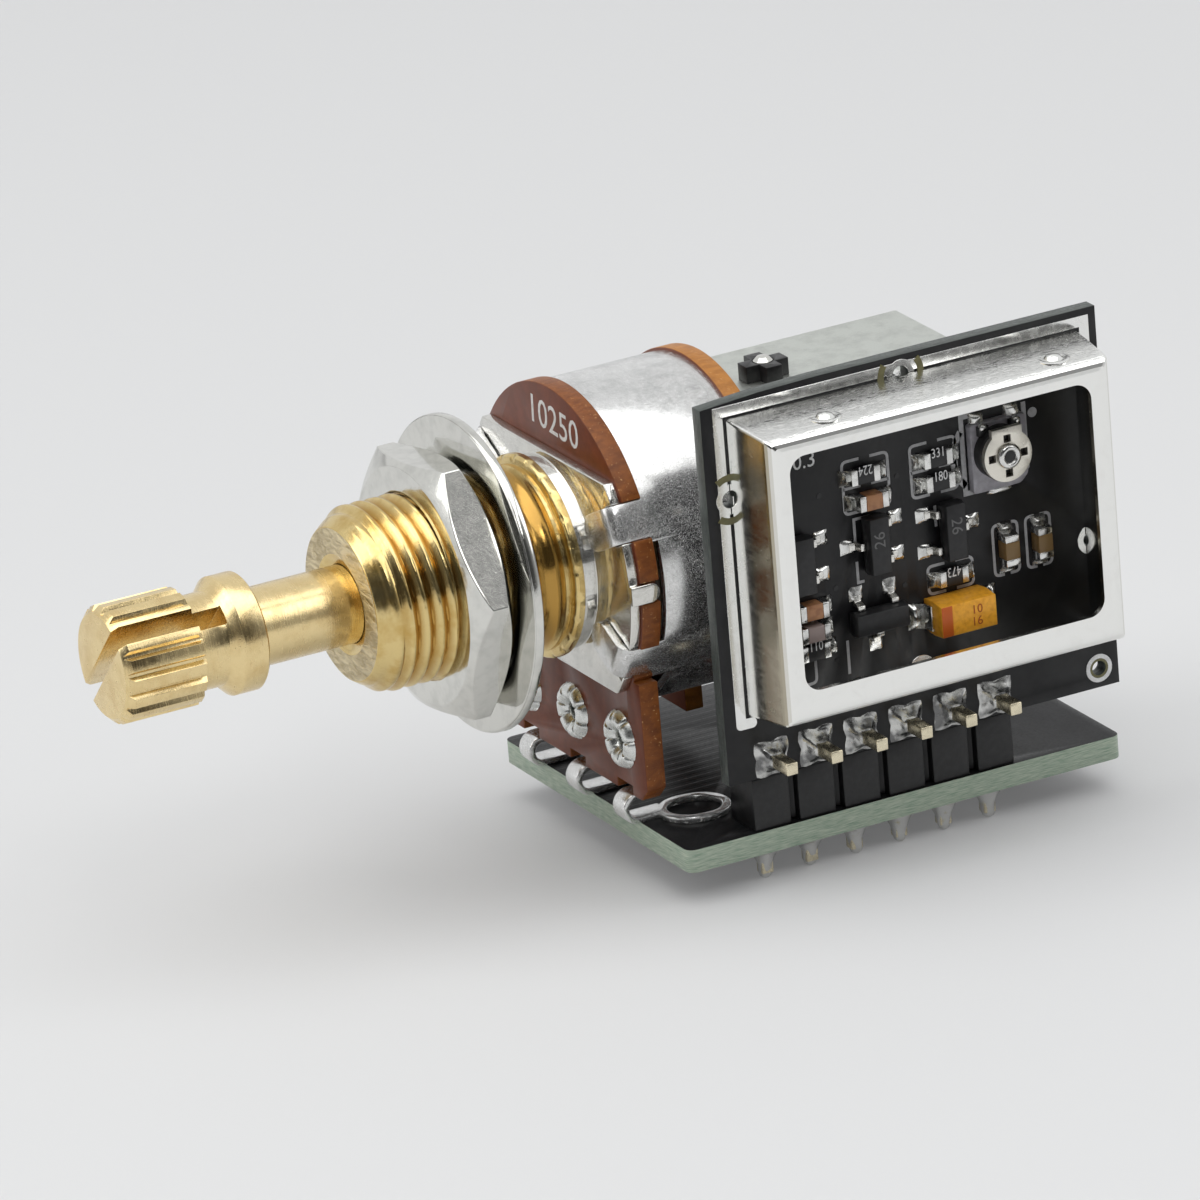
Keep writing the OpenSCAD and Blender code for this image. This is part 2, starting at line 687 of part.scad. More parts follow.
// Section of the folded frame across the shaft, open at the bottom, with its top bends of radius r
module frame_section(half, top, r, low) {
    translate([-half, low]) square([2 * half, top - r - low]);
    translate([-half + r, low]) square([2 * (half - r), top - low]);
    for (s = [-1, 1]) translate([s * (half - r), top - r]) circle(r);
}

module switch_frame() color("silver") {
    difference() {
        sheet_yz(x_frame, frame_len) frame_section(frame_half, frame_top, frame_bend, z_frame);
        sheet_yz(x_frame + frame_t, frame_len - 2 * frame_t)
            frame_section(frame_inner, frame_top - frame_t, frame_bend - frame_t, z_frame - over);
        // End walls stop above the base
        translate([x_frame - over, -frame_inner, z_frame - over])
            cube([frame_len + 2 * over, 2 * frame_inner, z_base - z_frame + over + 0.4]);
        turned([[0, x_frame - over], [drive_r + 0.6, x_frame - over], [drive_r + 0.6, x_frame + frame_t + over],
            [0, x_frame + frame_t + over]]);
        turned([[0, x_frame_end - frame_t - over], [1.5, x_frame_end - frame_t - over],
            [1.5, x_frame_end + over], [0, x_frame_end + over]]);
        translate([boss_place, 0, frame_top - frame_t - over]) cylinder(r = pin_r + seat, h = frame_t + 2 * over);
    }
    // Tabs bent in under the base
    for (x = [x_contact - contact_pitch - 0.6, x_contact + contact_pitch - 0.6], s = [-1, 1])
        translate([x, s * (frame_inner - frame_tab / 2) - frame_tab / 2, z_frame]) cube([2, frame_tab, tab_h]);
}

module latch_boss() color("black") difference() {
    translate([boss_place, 0, frame_top]) linear_extrude(boss_top) {
        square([boss_arm, boss_w], center = true);
        square([boss_w, boss_arm], center = true);
    }
    translate([boss_place, 0, frame_top - over]) cylinder(r = pin_r + seat, h = boss_top + 2 * over);
}

module latch_pin() color("silver") translate([boss_place, 0, 0]) rotate_extrude()
    polygon([[0, z_spring - spring_t - 0.3], [pin_r + 0.25, z_spring - spring_t - 0.3],
        [pin_r + 0.25, z_spring - spring_t], [pin_r, z_spring - spring_t],
        [pin_r, frame_top + boss_top], [pin_r - 0.2, frame_top + boss_top + 0.2],
        [0, frame_top + boss_top + 0.25]]);

// Leaf whose bend the slider's fork snaps past
module detent_spring() color("silver") difference() {
    translate([boss_place, 0, z_spring]) strip_xz(0, spring_w) polygon([[-1, 0], [-1, -spring_t],
        [0.7, -spring_t], [1.45, -spring_drop], [1.75, -spring_drop], [2.5, -spring_t], [5, -spring_t], [5, 0],
        [2.3, 0], [1.6, -spring_drop + 0.4], [0.9, 0]]);
    translate([boss_place, 0, z_spring - over]) cylinder(r = pin_r + seat, h = 2 * over);
}

// Middles of the six switch terminals
terminal_places = [for (i = [-1:1], s = [-1, 1]) [x_contact + i * contact_pitch, s * contact_row]];

module switch_base() color("sienna") difference() {
    translate([x_frame + frame_t + 0.3, -frame_inner + seat, z_base - base_t])
        cube([frame_len - 2 * frame_t - 0.6, 2 * (frame_inner - seat), base_t]);
    for (p = terminal_places) translate([p[0], p[1], z_base - base_t / 2])
        cube([terminal_x + 0.04, terminal_y + 0.04, base_t + over], center = true);
}

module switch_terminals() color("silver") for (p = terminal_places) translate([p[0], p[1], 0]) {
    translate([-terminal_x, -0.7, z_base]) cube([2 * terminal_x, 1.4, contact_h]);
    translate([-terminal_x / 2, -terminal_y / 2, z_tail + 0.3])
        cube([terminal_x, terminal_y, z_base - z_tail - 0.3]);
}

module switch_slider() color("black") {
    translate([x_slider, -frame_inner + slider_side, z_slider])
        cube([slider_len, 2 * (frame_inner - slider_side), slider_h]);
    sheet_yz(x_fork, fork_t) difference() {
        translate([-fork_half, z_slider + slider_h]) square([2 * fork_half, fork_top - z_slider - slider_h]);
        circle(neck_groove_r + fork_play);
        translate([-neck_groove_r - fork_play, 0]) square([2 * (neck_groove_r + fork_play), fork_top + over]);
    }
}

module slider_contacts() color("goldenrod") for (s = [-1, 1])
    translate([x_slider + 0.45, s * contact_row - 0.6, z_slider - bridge_t]) cube([slider_len - 0.75, 1.2, bridge_t]);

module lower_board() color("darkslategray") difference() {
    translate([x_lower, -lower_front, z_lower_bottom]) cube([lower_len, lower_front + lower_back, lower_t]);
    for (i = [0:pin_count - 1]) translate([x_pin + i * pin_pitch, -pin_row, z_lower_bottom - over])
        cylinder(r = pin_hole_r, h = lower_t + 2 * over);
    for (p = terminal_places) translate([p[0], p[1], z_lower_bottom - over])
        cylinder(r = pin_hole_r + 0.05, h = lower_t + 2 * over);
}

module header_block() color("black") difference() {
    translate([x_pin - pin_pitch / 2 + block_notch / 2, -pin_row - pin_pitch / 2, z_lower])
        cube([pin_count * pin_pitch - block_notch, block_w, block_h]);
    for (i = [1:pin_count - 1]) translate([x_pin + (i - 0.5) * pin_pitch - block_notch / 2,
        -pin_row - pin_pitch / 2 - over, z_lower - over]) cube([block_notch, over + 0.5, block_h + 2 * over]);
    for (i = [0:pin_count - 1]) translate([x_pin + i * pin_pitch - pin_w / 2 - 0.01, -pin_row - pin_w / 2 - 0.01,
        z_lower - over]) cube([pin_w + 0.02, pin_w + 0.02, block_h + 2 * over]);
}

module header_pins() color("gold") for (i = [0:pin_count - 1]) translate([x_pin + i * pin_pitch, 0, 0]) {
    translate([-pin_w / 2, -pin_row - pin_w / 2, z_tail + 0.3]) cube([pin_w, pin_w, z_pin - z_tail - 0.3]);
    translate([-pin_w / 2, y_face - pin_out, z_pin - pin_w / 2])
        cube([pin_w, pin_out - y_face - pin_row + pin_w / 2, pin_w]);
}

module header_solder() color("silver") for (i = [0:pin_count - 1]) difference() {
    on_face(x_pin + i * pin_pitch, z_pin) {
        translate([-pad_half, -pad_h / 2, 0]) cube([2 * pad_half, pad_h, pad_t]);
        cylinder(r1 = pad_h / 2, r2 = pin_w / 2 + 0.2, h = solder_h);
    }
    translate([x_pin + i * pin_pitch - pin_w / 2, y_face - over, z_pin - pin_w / 2])
        cube([pin_w, 2 * over, pin_w]);
}

// Cone of solder under the lower board
module solder_cone() rotate_extrude() polygon([[0, z_lower_bottom], [0.98, z_lower_bottom],
    [0.92, z_lower_bottom - 0.18], [0.62, z_lower_bottom - 0.7], [0.52, z_tail + 0.25], [0.4, z_tail], [0, z_tail]]);

module tail_solder() color("silver") {
    for (i = [0:pin_count - 1]) difference() {
        translate([x_pin + i * pin_pitch, -pin_row, 0]) solder_cone();
        translate([x_pin + i * pin_pitch - pin_w / 2, -pin_row - pin_w / 2, z_tail + 0.3])
            cube([pin_w, pin_w, tail_len + over]);
    }
    for (p = terminal_places) translate([p[0], p[1], 0]) difference() {
        solder_cone();
        translate([-terminal_x / 2, -terminal_y / 2, z_tail + 0.3])
            cube([terminal_x, terminal_y, tail_len + over]);
    }
}

module vertical_board() color("black") difference() {
    translate([x_upright, 0, z_upright]) strip_xz(y_face + upright_t / 2, upright_t) polygon([[0, 0],
        [upright_len, 0], [upright_len, upright_h], [dip_len, upright_h], [dip_len / 2, upright_h - upright_dip / 4],
        [0, upright_h - upright_dip]]);
    on_face(x_shield, z_shield) at_anchors() translate([0, 0, -upright_t - over])
        cylinder(r = anchor_hole_r, h = upright_t + 2 * over);
    for (i = [0:pin_count - 1]) translate([x_pin + i * pin_pitch, y_inner + over, z_pin])
        rotate([90, 0, 0]) cylinder(r = pin_hole_r, h = upright_t + 2 * over);
    translate([x_upright_end - corner_hole, y_inner + over, z_upright + corner_hole - 0.1])
        rotate([90, 0, 0]) cylinder(r = corner_hole_r, h = upright_t + 2 * over);
}

// Puts children on the shield's foot line at each anchor, with +X pointing out of the shield
module at_anchors() for (a = anchors) rotate(a[0]) translate([a[1], a[2]]) children();

// Body of the shield drawn in by inset on its sides and its front
module shield_form(inset) on_face(x_shield, z_shield) hull() {
    front_w = shield_len - 2 * (inset + shield_taper);
    front_h = shield_h - 2 * (inset + shield_taper);
    bend = shield_bend - inset;
    slice = 0.01;
    linear_extrude(slice) round_rect(shield_len - 2 * inset, shield_h - 2 * inset, shield_corner_r);
    for (a = [0:18:90]) translate([0, 0, shield_out - inset - slice - bend * (1 - sin(a))]) linear_extrude(slice)
        round_rect(front_w - 2 * bend * (1 - cos(a)), front_h - 2 * bend * (1 - cos(a)), shield_corner_r);
}

module shield_frame() color("silver") {
    shield_sheet();
    on_face(x_shield, z_shield) at_anchors() translate([-shield_t, -anchor_tab / 2, -upright_t])
        cube([shield_t, anchor_tab, upright_t + shield_t]);
    for (place = dome_places) translate([x_shield + place, y_face - shield_out + dome_back,
        z_shield + shield_h / 2 - shield_taper]) cylinder(r1 = dome_r, r2 = dome_r / 3, h = 0.28);
}

module shield_sheet() difference() {
    shield_form(0);
    shield_form(shield_t);
    translate([x_shield - shield_len / 2 + shield_t, y_face - 0.02, z_shield - shield_h / 2 + shield_t])
        cube([shield_len - 2 * shield_t, over, shield_h - 2 * shield_t]);
    on_board(x_window, z_window, shield_out + over) round_rect(window_len, window_h, window_r);
}

// Outline of the shield's foot grown all round
module foot_outline(grow) square([shield_len + 2 * grow, shield_h + 2 * grow], center = true);

// Tinned track that follows the shield's foot along its front end and its top and ends in two short turns
module track_run() difference() {
    foot_outline(track_gap + track_w);
    foot_outline(track_gap);
    translate([-shield_len / 2 + track_hook, -shield_h / 2 - over])
        square([shield_len + over, shield_h + over - track_turn]);
}

module shield_track() color("silver") on_board(x_shield, z_shield, foil_t) difference() {
    union() {
        track_run();
        at_anchors() circle(anchor_ring_r, $fn = 32);
    }
    at_anchors() circle(anchor_hole_r, $fn = 32);
    difference() {
        foot_outline(seat / 2);
        foot_outline(-shield_t - seat / 2);
    }
}

module chip_body(h) translate([-chip_len / 2 + end_len, -chip_w / 2, 0]) cube([chip_len - 2 * end_len, chip_w, h]);

module chip_ends(h) for (s = [0, 180]) rotate(s) strip_xz(0, chip_w) polygon([[chip_len / 2 - end_len, 0],
    [chip_len / 2 - end_len, h], [chip_len / 2, h], [chip_len / 2 + 0.1, h * 0.4], [chip_len / 2 + fillet, 0.06],
    [chip_len / 2 + fillet, 0]]);

// Puts children, modelled lying flat, on the board at each place counted from the window's middle
module at_places(places) for (p = places)
    on_face(x_window + p[0], z_window + p[1], p[2] == 1 ? 90 : p[2]) children();

module chip_resistors() color("black") at_places(resistor_places) chip_body(resistor_h);

module resistor_solder() color("silver") at_places(resistor_places) chip_ends(resistor_h);

module chip_capacitors() color("sienna") at_places(capacitor_places) chip_body(capacitor_h);

module capacitor_solder() color("silver") at_places(capacitor_places) chip_ends(capacitor_h);

module tantalum_capacitor() color("orange") on_face(x_window + tantalum_place[0], z_window + tantalum_place[1])
    rotate([90, 0, 90]) linear_extrude(tantalum_len, center = true) polygon([[-tantalum_w / 2 + 0.1, 0],
        [tantalum_w / 2 - 0.1, 0], [tantalum_w / 2, tantalum_h / 2], [tantalum_w / 2 - 0.1, tantalum_h],
        [-tantalum_w / 2 + 0.1, tantalum_h], [-tantalum_w / 2, tantalum_h / 2]]);

module tantalum_ends() color("silver") on_face(x_window + tantalum_place[0], z_window + tantalum_place[1])
    for (s = [0, 180]) rotate(s) strip_xz(0, tantalum_w - 0.5) polygon([[tantalum_len / 2, 0],
        [tantalum_len / 2, tantalum_h * 0.55], [tantalum_len / 2 + 0.15, tantalum_h * 0.55],
        [tantalum_len / 2 + 0.2, 0.4], [tantalum_len / 2 + 0.6, 0.08], [tantalum_len / 2 + 0.6, 0]]);

module transistors() color("black") at_places(transistor_places)
    rotate([90, 0, 90]) linear_extrude(transistor_len, center = true) polygon([[-transistor_w / 2 + 0.1, 0.1],
        [transistor_w / 2 - 0.1, 0.1], [transistor_w / 2, transistor_h / 2], [transistor_w / 2 - 0.12, transistor_h],
        [-transistor_w / 2 + 0.12, transistor_h], [-transistor_w / 2, transistor_h / 2]]);

// One gull-wing lead that leaves a transistor's side at y
module gull_lead() rotate([90, 0, 90]) linear_extrude(0.4, center = true) polygon([[transistor_w / 2, 0.45],
    [transistor_w / 2, 0.6], [transistor_w / 2 + 0.25, 0.6], [transistor_w / 2 + 0.4, 0.2],
    [transistor_w / 2 + 0.7, 0.18], [transistor_w / 2 + 0.7, 0], [transistor_w / 2 + 0.15, 0],
    [transistor_w / 2 + 0.15, 0.4]]);

module transistor_leads() color("silver") at_places(transistor_places) {
    gull_lead();
    for (s = [-1, 1]) translate([s * 0.95, 0, 0]) rotate(180) gull_lead();
}

module trimmer_base() color("dimgray") on_face(x_trimmer, z_trimmer) difference() {
    linear_extrude(trimmer_h) round_rect(trimmer_w, trimmer_w, 0.4);
    translate([0, 0, trimmer_h - spigot_len - spigot_room])
            cylinder(r = trimmer_spigot_r + 0.04, h = over);
}

module trimmer_terminals() color("silver") on_face(x_trimmer, z_trimmer) {
    for (s = [-1, 1]) translate([s * 1.05 - 0.4, -trimmer_w / 2 - 0.5, 0]) cube([0.8, 0.5, trimmer_h * 0.6]);
    translate([-0.7, trimmer_w / 2, 0]) cube([1.4, 0.5, trimmer_h * 0.6]);
}

module trimmer_rotor() color("silver") on_face(x_trimmer, z_trimmer) translate([0, 0, trimmer_h + seat])
    difference() {
        union() {
            cylinder(r = trimmer_r, h = disc_t);
            translate([0, 0, -seat - spigot_len])
                cylinder(r = trimmer_spigot_r, h = seat + spigot_len + spigot_room);
            // Raised hub and the flat ear at the top
            translate([0, 0, disc_t]) cylinder(r1 = hub_foot_r, r2 = hub_foot_r - 0.12, h = hub_rise);
            translate([-ear_half, 0, 0]) cube([2 * ear_half, trimmer_r + 0.1, disc_t]);
        }
        translate([0, 0, seat]) cylinder(r = 0.26, h = over);
        // Cross of four slots that takes a screwdriver
        for (a = [0:90:270]) rotate(a) translate([slot_in, -0.2, -over / 2]) cube([0.4, 0.4, over]);
    }

shaft();
bush();
hex_nut();
washer();
front_plate();
front_wafer();
resistive_track();
left_lug();
middle_lug();
right_lug();
lug_rivets();
can();
rotor();
wiper();
rear_wafer();
switch_frame();
latch_boss();
latch_pin();
detent_spring();
switch_base();
switch_terminals();
switch_slider();
slider_contacts();
lower_board();
header_block();
header_pins();
header_solder();
tail_solder();
vertical_board();
shield_frame();
shield_track();
chip_resistors();
resistor_solder();
chip_capacitors();
capacitor_solder();
tantalum_capacitor();
tantalum_ends();
transistors();
transistor_leads();
trimmer_base();
trimmer_terminals();
trimmer_rotor();
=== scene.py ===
"""Looks of a push-pull rotary potentiometer with a shielded circuit board.

Millimetres are used for every size here, and MM turns them into the scene's metres.
"""
import json
import math

import bmesh
import bpy
from mathutils import Matrix, Vector, noise


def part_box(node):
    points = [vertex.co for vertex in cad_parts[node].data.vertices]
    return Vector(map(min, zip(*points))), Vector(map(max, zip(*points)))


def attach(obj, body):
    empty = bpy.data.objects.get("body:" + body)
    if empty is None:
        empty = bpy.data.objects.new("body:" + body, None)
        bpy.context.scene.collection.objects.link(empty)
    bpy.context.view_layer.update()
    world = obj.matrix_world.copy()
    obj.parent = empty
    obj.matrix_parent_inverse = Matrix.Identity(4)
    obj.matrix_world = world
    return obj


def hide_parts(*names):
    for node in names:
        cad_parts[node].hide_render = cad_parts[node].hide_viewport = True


bl_info = {
    "name": "Push-pull potentiometer",
    "version": (1, 0, 0),
    "blender": (4, 5, 0),
    "location": "View3D > Sidebar > Potentiometer",
    "description": "Dresses a packed push-pull potentiometer with its finishes, threads, solder and print",
    "category": "Object",
}

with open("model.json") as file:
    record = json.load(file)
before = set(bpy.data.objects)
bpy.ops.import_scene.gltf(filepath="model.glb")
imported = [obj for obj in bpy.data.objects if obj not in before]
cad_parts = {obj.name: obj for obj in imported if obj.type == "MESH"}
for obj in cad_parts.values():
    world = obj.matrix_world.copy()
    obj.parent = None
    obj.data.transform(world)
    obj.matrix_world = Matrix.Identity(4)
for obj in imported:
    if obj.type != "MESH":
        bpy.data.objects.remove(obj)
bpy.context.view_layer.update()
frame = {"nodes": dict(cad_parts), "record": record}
MM = 0.001
HOUSING = "housing"
NODE_BODY = {node: body for body, nodes in frame["record"]["behaviour"]["bodies"].items() for node in nodes}
NODE_SLOT = {part["node"]: part["material_slot"] for part in frame["record"]["subparts"]}


def low(node):
    """Lowest corner of a CAD node, in millimetres."""
    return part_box(node)[0] / MM


def high(node):
    """Highest corner of a CAD node, in millimetres."""
    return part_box(node)[1] / MM


def centre_of(node):
    """Middle of a CAD node's box, in millimetres."""
    return (low(node) + high(node)) / 2


# Places that the frame gives
X_FACE = low("bush").x
X_BUSH_END = high("bush").x
Y_BOARD = low("vertical_board").y
Z_FLOOR = min(low(node).z for node in frame["nodes"])
SHIELD_MID = centre_of("shield_frame")
# The header's pins: half their width, how many there are, the first one's place and their pitch
PIN_HALF = 0.32
PIN_COUNT = 6
X_FIRST_PIN = low("header_pins").x + PIN_HALF
PIN_PITCH = (high("header_pins").x - PIN_HALF - X_FIRST_PIN) / (PIN_COUNT - 1)
# Radii of the bush: its bore, the tail behind the shoulder and the thread's crests
R_BORE, R_TAIL, R_CREST = 2.03, 3.4, 4.75
# Where the bush's thread stops, and the rounded relief between it and the shoulder
X_THREAD_END = -1.95
X_RELIEF_END, RELIEF_LENGTH, RELIEF_DEPTH = -0.35, 1.5, 0.5
NOTCHES = 24
# Share of its own colour that the floor gives off towards the camera
FLOOR_GLOW = 0.17


class PotentiometerSizes(bpy.types.PropertyGroup):
    """Sizes of the details that the finish adds, in millimetres"""

    thread_pitch: bpy.props.FloatProperty(
        name="Thread pitch", description="Pitch of the bush's thread", default=0.794, min=0.4, max=1.5)
    thread_depth: bpy.props.FloatProperty(
        name="Thread depth", description="Depth of the bush's thread", default=0.33, min=0.1, max=0.6)
    edge_round: bpy.props.FloatProperty(
        name="Edge rounding", description="Rounding of the sheet and moulded edges", default=0.06, min=0.01, max=0.2)
    print_height: bpy.props.FloatProperty(
        name="Print height", description="Height of the printed marks above their face", default=0.012, min=0.005,
        max=0.03)
    camera_lens: bpy.props.FloatProperty(
        name="Lens", description="Focal length of the camera on a 36 mm sensor", default=352.7, min=50, max=800)


class PotentiometerColours(bpy.types.PropertyGroup):
    """Main colours of the finishes"""

    shaft_brass: bpy.props.FloatVectorProperty(
        name="Shaft brass", description="Pale brass of the shaft", subtype="COLOR", default=(0.86, 0.68, 0.36),
        min=0, max=1)
    bush_brass: bpy.props.FloatVectorProperty(
        name="Bush brass", description="Deeper brass of the bush", subtype="COLOR", default=(0.755, 0.585, 0.27),
        min=0, max=1)
    nickel: bpy.props.FloatVectorProperty(
        name="Nickel", description="Plating of the nut and the washer", subtype="COLOR", default=(0.72, 0.715, 0.675),
        min=0, max=1)
    tin: bpy.props.FloatVectorProperty(
        name="Tin", description="Tinned sheet of the can", subtype="COLOR", default=(0.80, 0.80, 0.79), min=0, max=1)
    phenolic: bpy.props.FloatVectorProperty(
        name="Phenolic", description="Face of the brown wafers", subtype="COLOR", default=(0.135, 0.032, 0.011),
        min=0, max=1)
    floor: bpy.props.FloatVectorProperty(
        name="Floor", description="Pale floor and backdrop", subtype="COLOR", default=(0.705, 0.709, 0.713), min=0,
        max=1)


class Finish:
    """One material and the nodes that make it."""

    def __init__(self, name, colour, metallic=0.0, roughness=0.5):
        self.material = bpy.data.materials.new(name)
        self.material.use_nodes = True
        self.tree = self.material.node_tree
        self.shader = self.tree.nodes["Principled BSDF"]
        self.shader.inputs["Base Color"].default_value = (*colour, 1)
        self.shader.inputs["Metallic"].default_value = metallic
        self.shader.inputs["Roughness"].default_value = roughness
        self.normal = None

    def add(self, kind, settings=None, **inputs):
        """Adds a node, sets its properties and fills its inputs with values or other nodes' outputs."""
        node = self.tree.nodes.new(kind)
        for key, value in (settings or {}).items():
            setattr(node, key, value)
        for key, value in inputs.items():
            socket = node.inputs[int(key[1:]) if key[0] == "i" and key[1:].isdigit() else key]
            self.fill(socket, value)
        return node

    def fill(self, socket, value):
        """Links an output to a socket, or sets its value."""
        if isinstance(value, bpy.types.NodeSocket):
            self.tree.links.new(value, socket)
        else:
            socket.default_value = (*value, 1) if socket.type == "RGBA" and len(value) == 3 else value

    def place(self, scale=(1, 1, 1), turn=(0, 0, 0)):
        """The object's own coordinates in millimetres, stretched by scale."""
        source = self.add("ShaderNodeTexCoord").outputs["Object"]
        mapping = self.add("ShaderNodeMapping", Vector=source)
        mapping.inputs["Scale"].default_value = [s / MM for s in scale]
        mapping.inputs["Rotation"].default_value = [math.radians(t) for t in turn]
        return mapping.outputs[0]

    def noise(self, scale=1.0, detail=3.0, rough=0.5, bend=0.0, stretch=(1, 1, 1), turn=(0, 0, 0)):
        """Noise of about scale lumps a millimetre."""
        return self.add("ShaderNodeTexNoise", Vector=self.place(stretch, turn), Scale=scale, Detail=detail,
                        Roughness=rough, Distortion=bend).outputs[0]

    def cells(self, scale):
        """Distance to scattered points, about scale of them a millimetre."""
        return self.add("ShaderNodeTexVoronoi", Vector=self.place(), Scale=scale).outputs["Distance"]

    def ramp(self, value, low_in, high_in, low_out=0.0, high_out=1.0):
        """Straight ramp of a value, held at its ends."""
        return self.add("ShaderNodeMapRange", Value=value, i1=low_in, i2=high_in, i3=low_out, i4=high_out).outputs[0]

    def maths(self, operation, a, b=0.0):
        """One sum of two values."""
        return self.add("ShaderNodeMath", {"operation": operation}, i0=a, i1=b).outputs[0]

    def blend(self, share, a, b):
        """Mixes two colours."""
        node = self.add("ShaderNodeMix", {"data_type": "RGBA"})
        self.fill(node.inputs[0], share)
        self.fill(node.inputs[6], a)
        self.fill(node.inputs[7], b)
        return node.outputs[2]

    def part(self, vector, axis):
        """One part of a vector."""
        return self.add("ShaderNodeSeparateXYZ", i0=vector).outputs["XYZ".index(axis)]

    def facing(self, axis):
        """How far the surface faces along an axis, from 0 to 1."""
        return self.maths("ABSOLUTE", self.part(self.add("ShaderNodeNewGeometry").outputs["True Normal"], axis))

    def cloud(self, grain, span, out=(0.0, 1.0)):
        """Noise of a grain, with a span of it stretched over the output's range."""
        return self.ramp(self.noise(*grain), *span, *out)

    def mottle(self, grain, span, a, b):
        """Two colours mixed by a cloud."""
        return self.blend(self.cloud(grain, span), a, b)

    def gloss(self, level):
        """Sets how strongly a surface that isn't metal mirrors."""
        self.shader.inputs["Specular IOR Level"].default_value = level

    def along(self, axis):
        """Place along an axis, in millimetres."""
        return self.maths("MULTIPLY", self.part(self.add("ShaderNodeTexCoord").outputs["Object"], axis), 1 / MM)

    def colour(self, value):
        """Sets the base colour from nodes."""
        self.fill(self.shader.inputs["Base Color"], value)

    def roughness(self, value):
        """Sets the roughness from nodes."""
        self.fill(self.shader.inputs["Roughness"], value)

    def bump(self, height, strength, depth=0.02):
        """Adds a bump of about depth millimetres over what is there."""
        node = self.add("ShaderNodeBump", Height=height, Strength=strength, Distance=depth * MM)
        if self.normal:
            self.fill(node.inputs["Normal"], self.normal)
        self.normal = node.outputs[0]
        self.fill(self.shader.inputs["Normal"], self.normal)


def turned_brass(name, light, dark, roughness, rings):
    """Brass off a lathe: fine rings about X, faint stains, pits and long scratches."""
    made = Finish(name, light, 1.0, roughness)
    made.stained = made.mottle((0.8, 4, 0.6), (0.45, 0.75), light, dark)
    made.colour(made.stained)
    ring = made.noise(rings, 2, 0.6, 0, (1, 0.004, 0.004))
    grime = made.noise(2.2, 4, 0.6)
    made.roughness(made.ramp(made.maths("ADD", ring, grime), 0.8, 1.4, roughness * 0.75, roughness * 1.7))
    made.bump(ring, 0.22, 0.01)
    made.bump(made.cloud((1.7, 1, 0.4, 2.5, (1, 2.2, 1.4)), (0.485, 0.5)), 0.10, 0.01)
    made.bump(made.ramp(made.cells(2.2), 0.0, 0.09), 0.25, 0.03)
    made.bump(made.noise(1.2, 2), 0.10, 0.03)
    return made


def bush_finish(colours):
    """Deeper brass of the bush, with painted shade that turns it browner between the thread's crests."""
    made = turned_brass("gold_brass", tuple(colours.bush_brass), (0.58, 0.38, 0.11), 0.17, 9)
    y, z = made.along("Y"), made.along("Z")
    radius = made.maths("SQRT", made.maths("ADD", made.maths("MULTIPLY", y, y), made.maths("MULTIPLY", z, z)))
    # Painted shade: more than 1.5 mm behind the face, the brass below the crests is blended to dark brown, in the
    # thread's valleys and the relief.
    depth = made.maths("MULTIPLY", made.ramp(radius, 4.70, 4.45),
                       made.ramp(made.along("X"), X_FACE + 1.0, X_FACE + 1.5))
    made.colour(made.blend(depth, made.stained, (0.47, 0.275, 0.07)))
    return made.material


def torn_finish():
    """The bush's end face: greyish brass torn outwards by the parting tool."""
    made = Finish("torn_brass", (0.66, 0.56, 0.36), 1.0, 0.42)
    tears = made.noise(1.6, 4, 0.65, 0.6, (1, 0.7, 2.2), (20, 0, 0))
    made.colour(made.blend(made.ramp(tears, 0.35, 0.65), (0.42, 0.33, 0.18), (0.80, 0.70, 0.48)))
    made.roughness(made.ramp(tears, 0.3, 0.7, 0.3, 0.55))
    made.bump(made.ramp(tears, 0.4, 0.62), 0.7, 0.08)
    made.bump(made.noise(9, 3), 0.3, 0.03)
    return made.material


def plated(name, colour, roughness, swirl=0.0):
    """Plated or tinned sheet: soft waves, fine crossing scratches and a few pits."""
    made = Finish(name, colour, 1.0, roughness)
    dull = tuple(c * 0.82 for c in colour)
    made.colour(made.mottle((1.1, 5, 0.6), (0.45, 0.75), colour, dull))
    scratches = made.noise(6, 4, 0.75, 3.0 + swirl)
    made.roughness(made.ramp(scratches, 0.35, 0.7, roughness * 0.75, roughness * 1.5))
    made.bump(made.noise(0.5, 2), 0.10 + 0.05 * swirl, 0.1)
    made.bump(made.cloud((3.2, 1, 0.3, 6.0), (0.485, 0.5)), 0.06 + 0.6 * swirl, 0.025)
    made.bump(made.ramp(made.cells(1.4), 0.0, 0.06), 0.2, 0.03)
    return made


def frame_steel_finish():
    """Dull tinned sheet of the switch frame."""
    made = plated("frame_steel", (0.62, 0.64, 0.60), 0.4, 0.3)
    made.bump(made.noise(9, 4, 0.7), 0.15, 0.02)
    return made.material


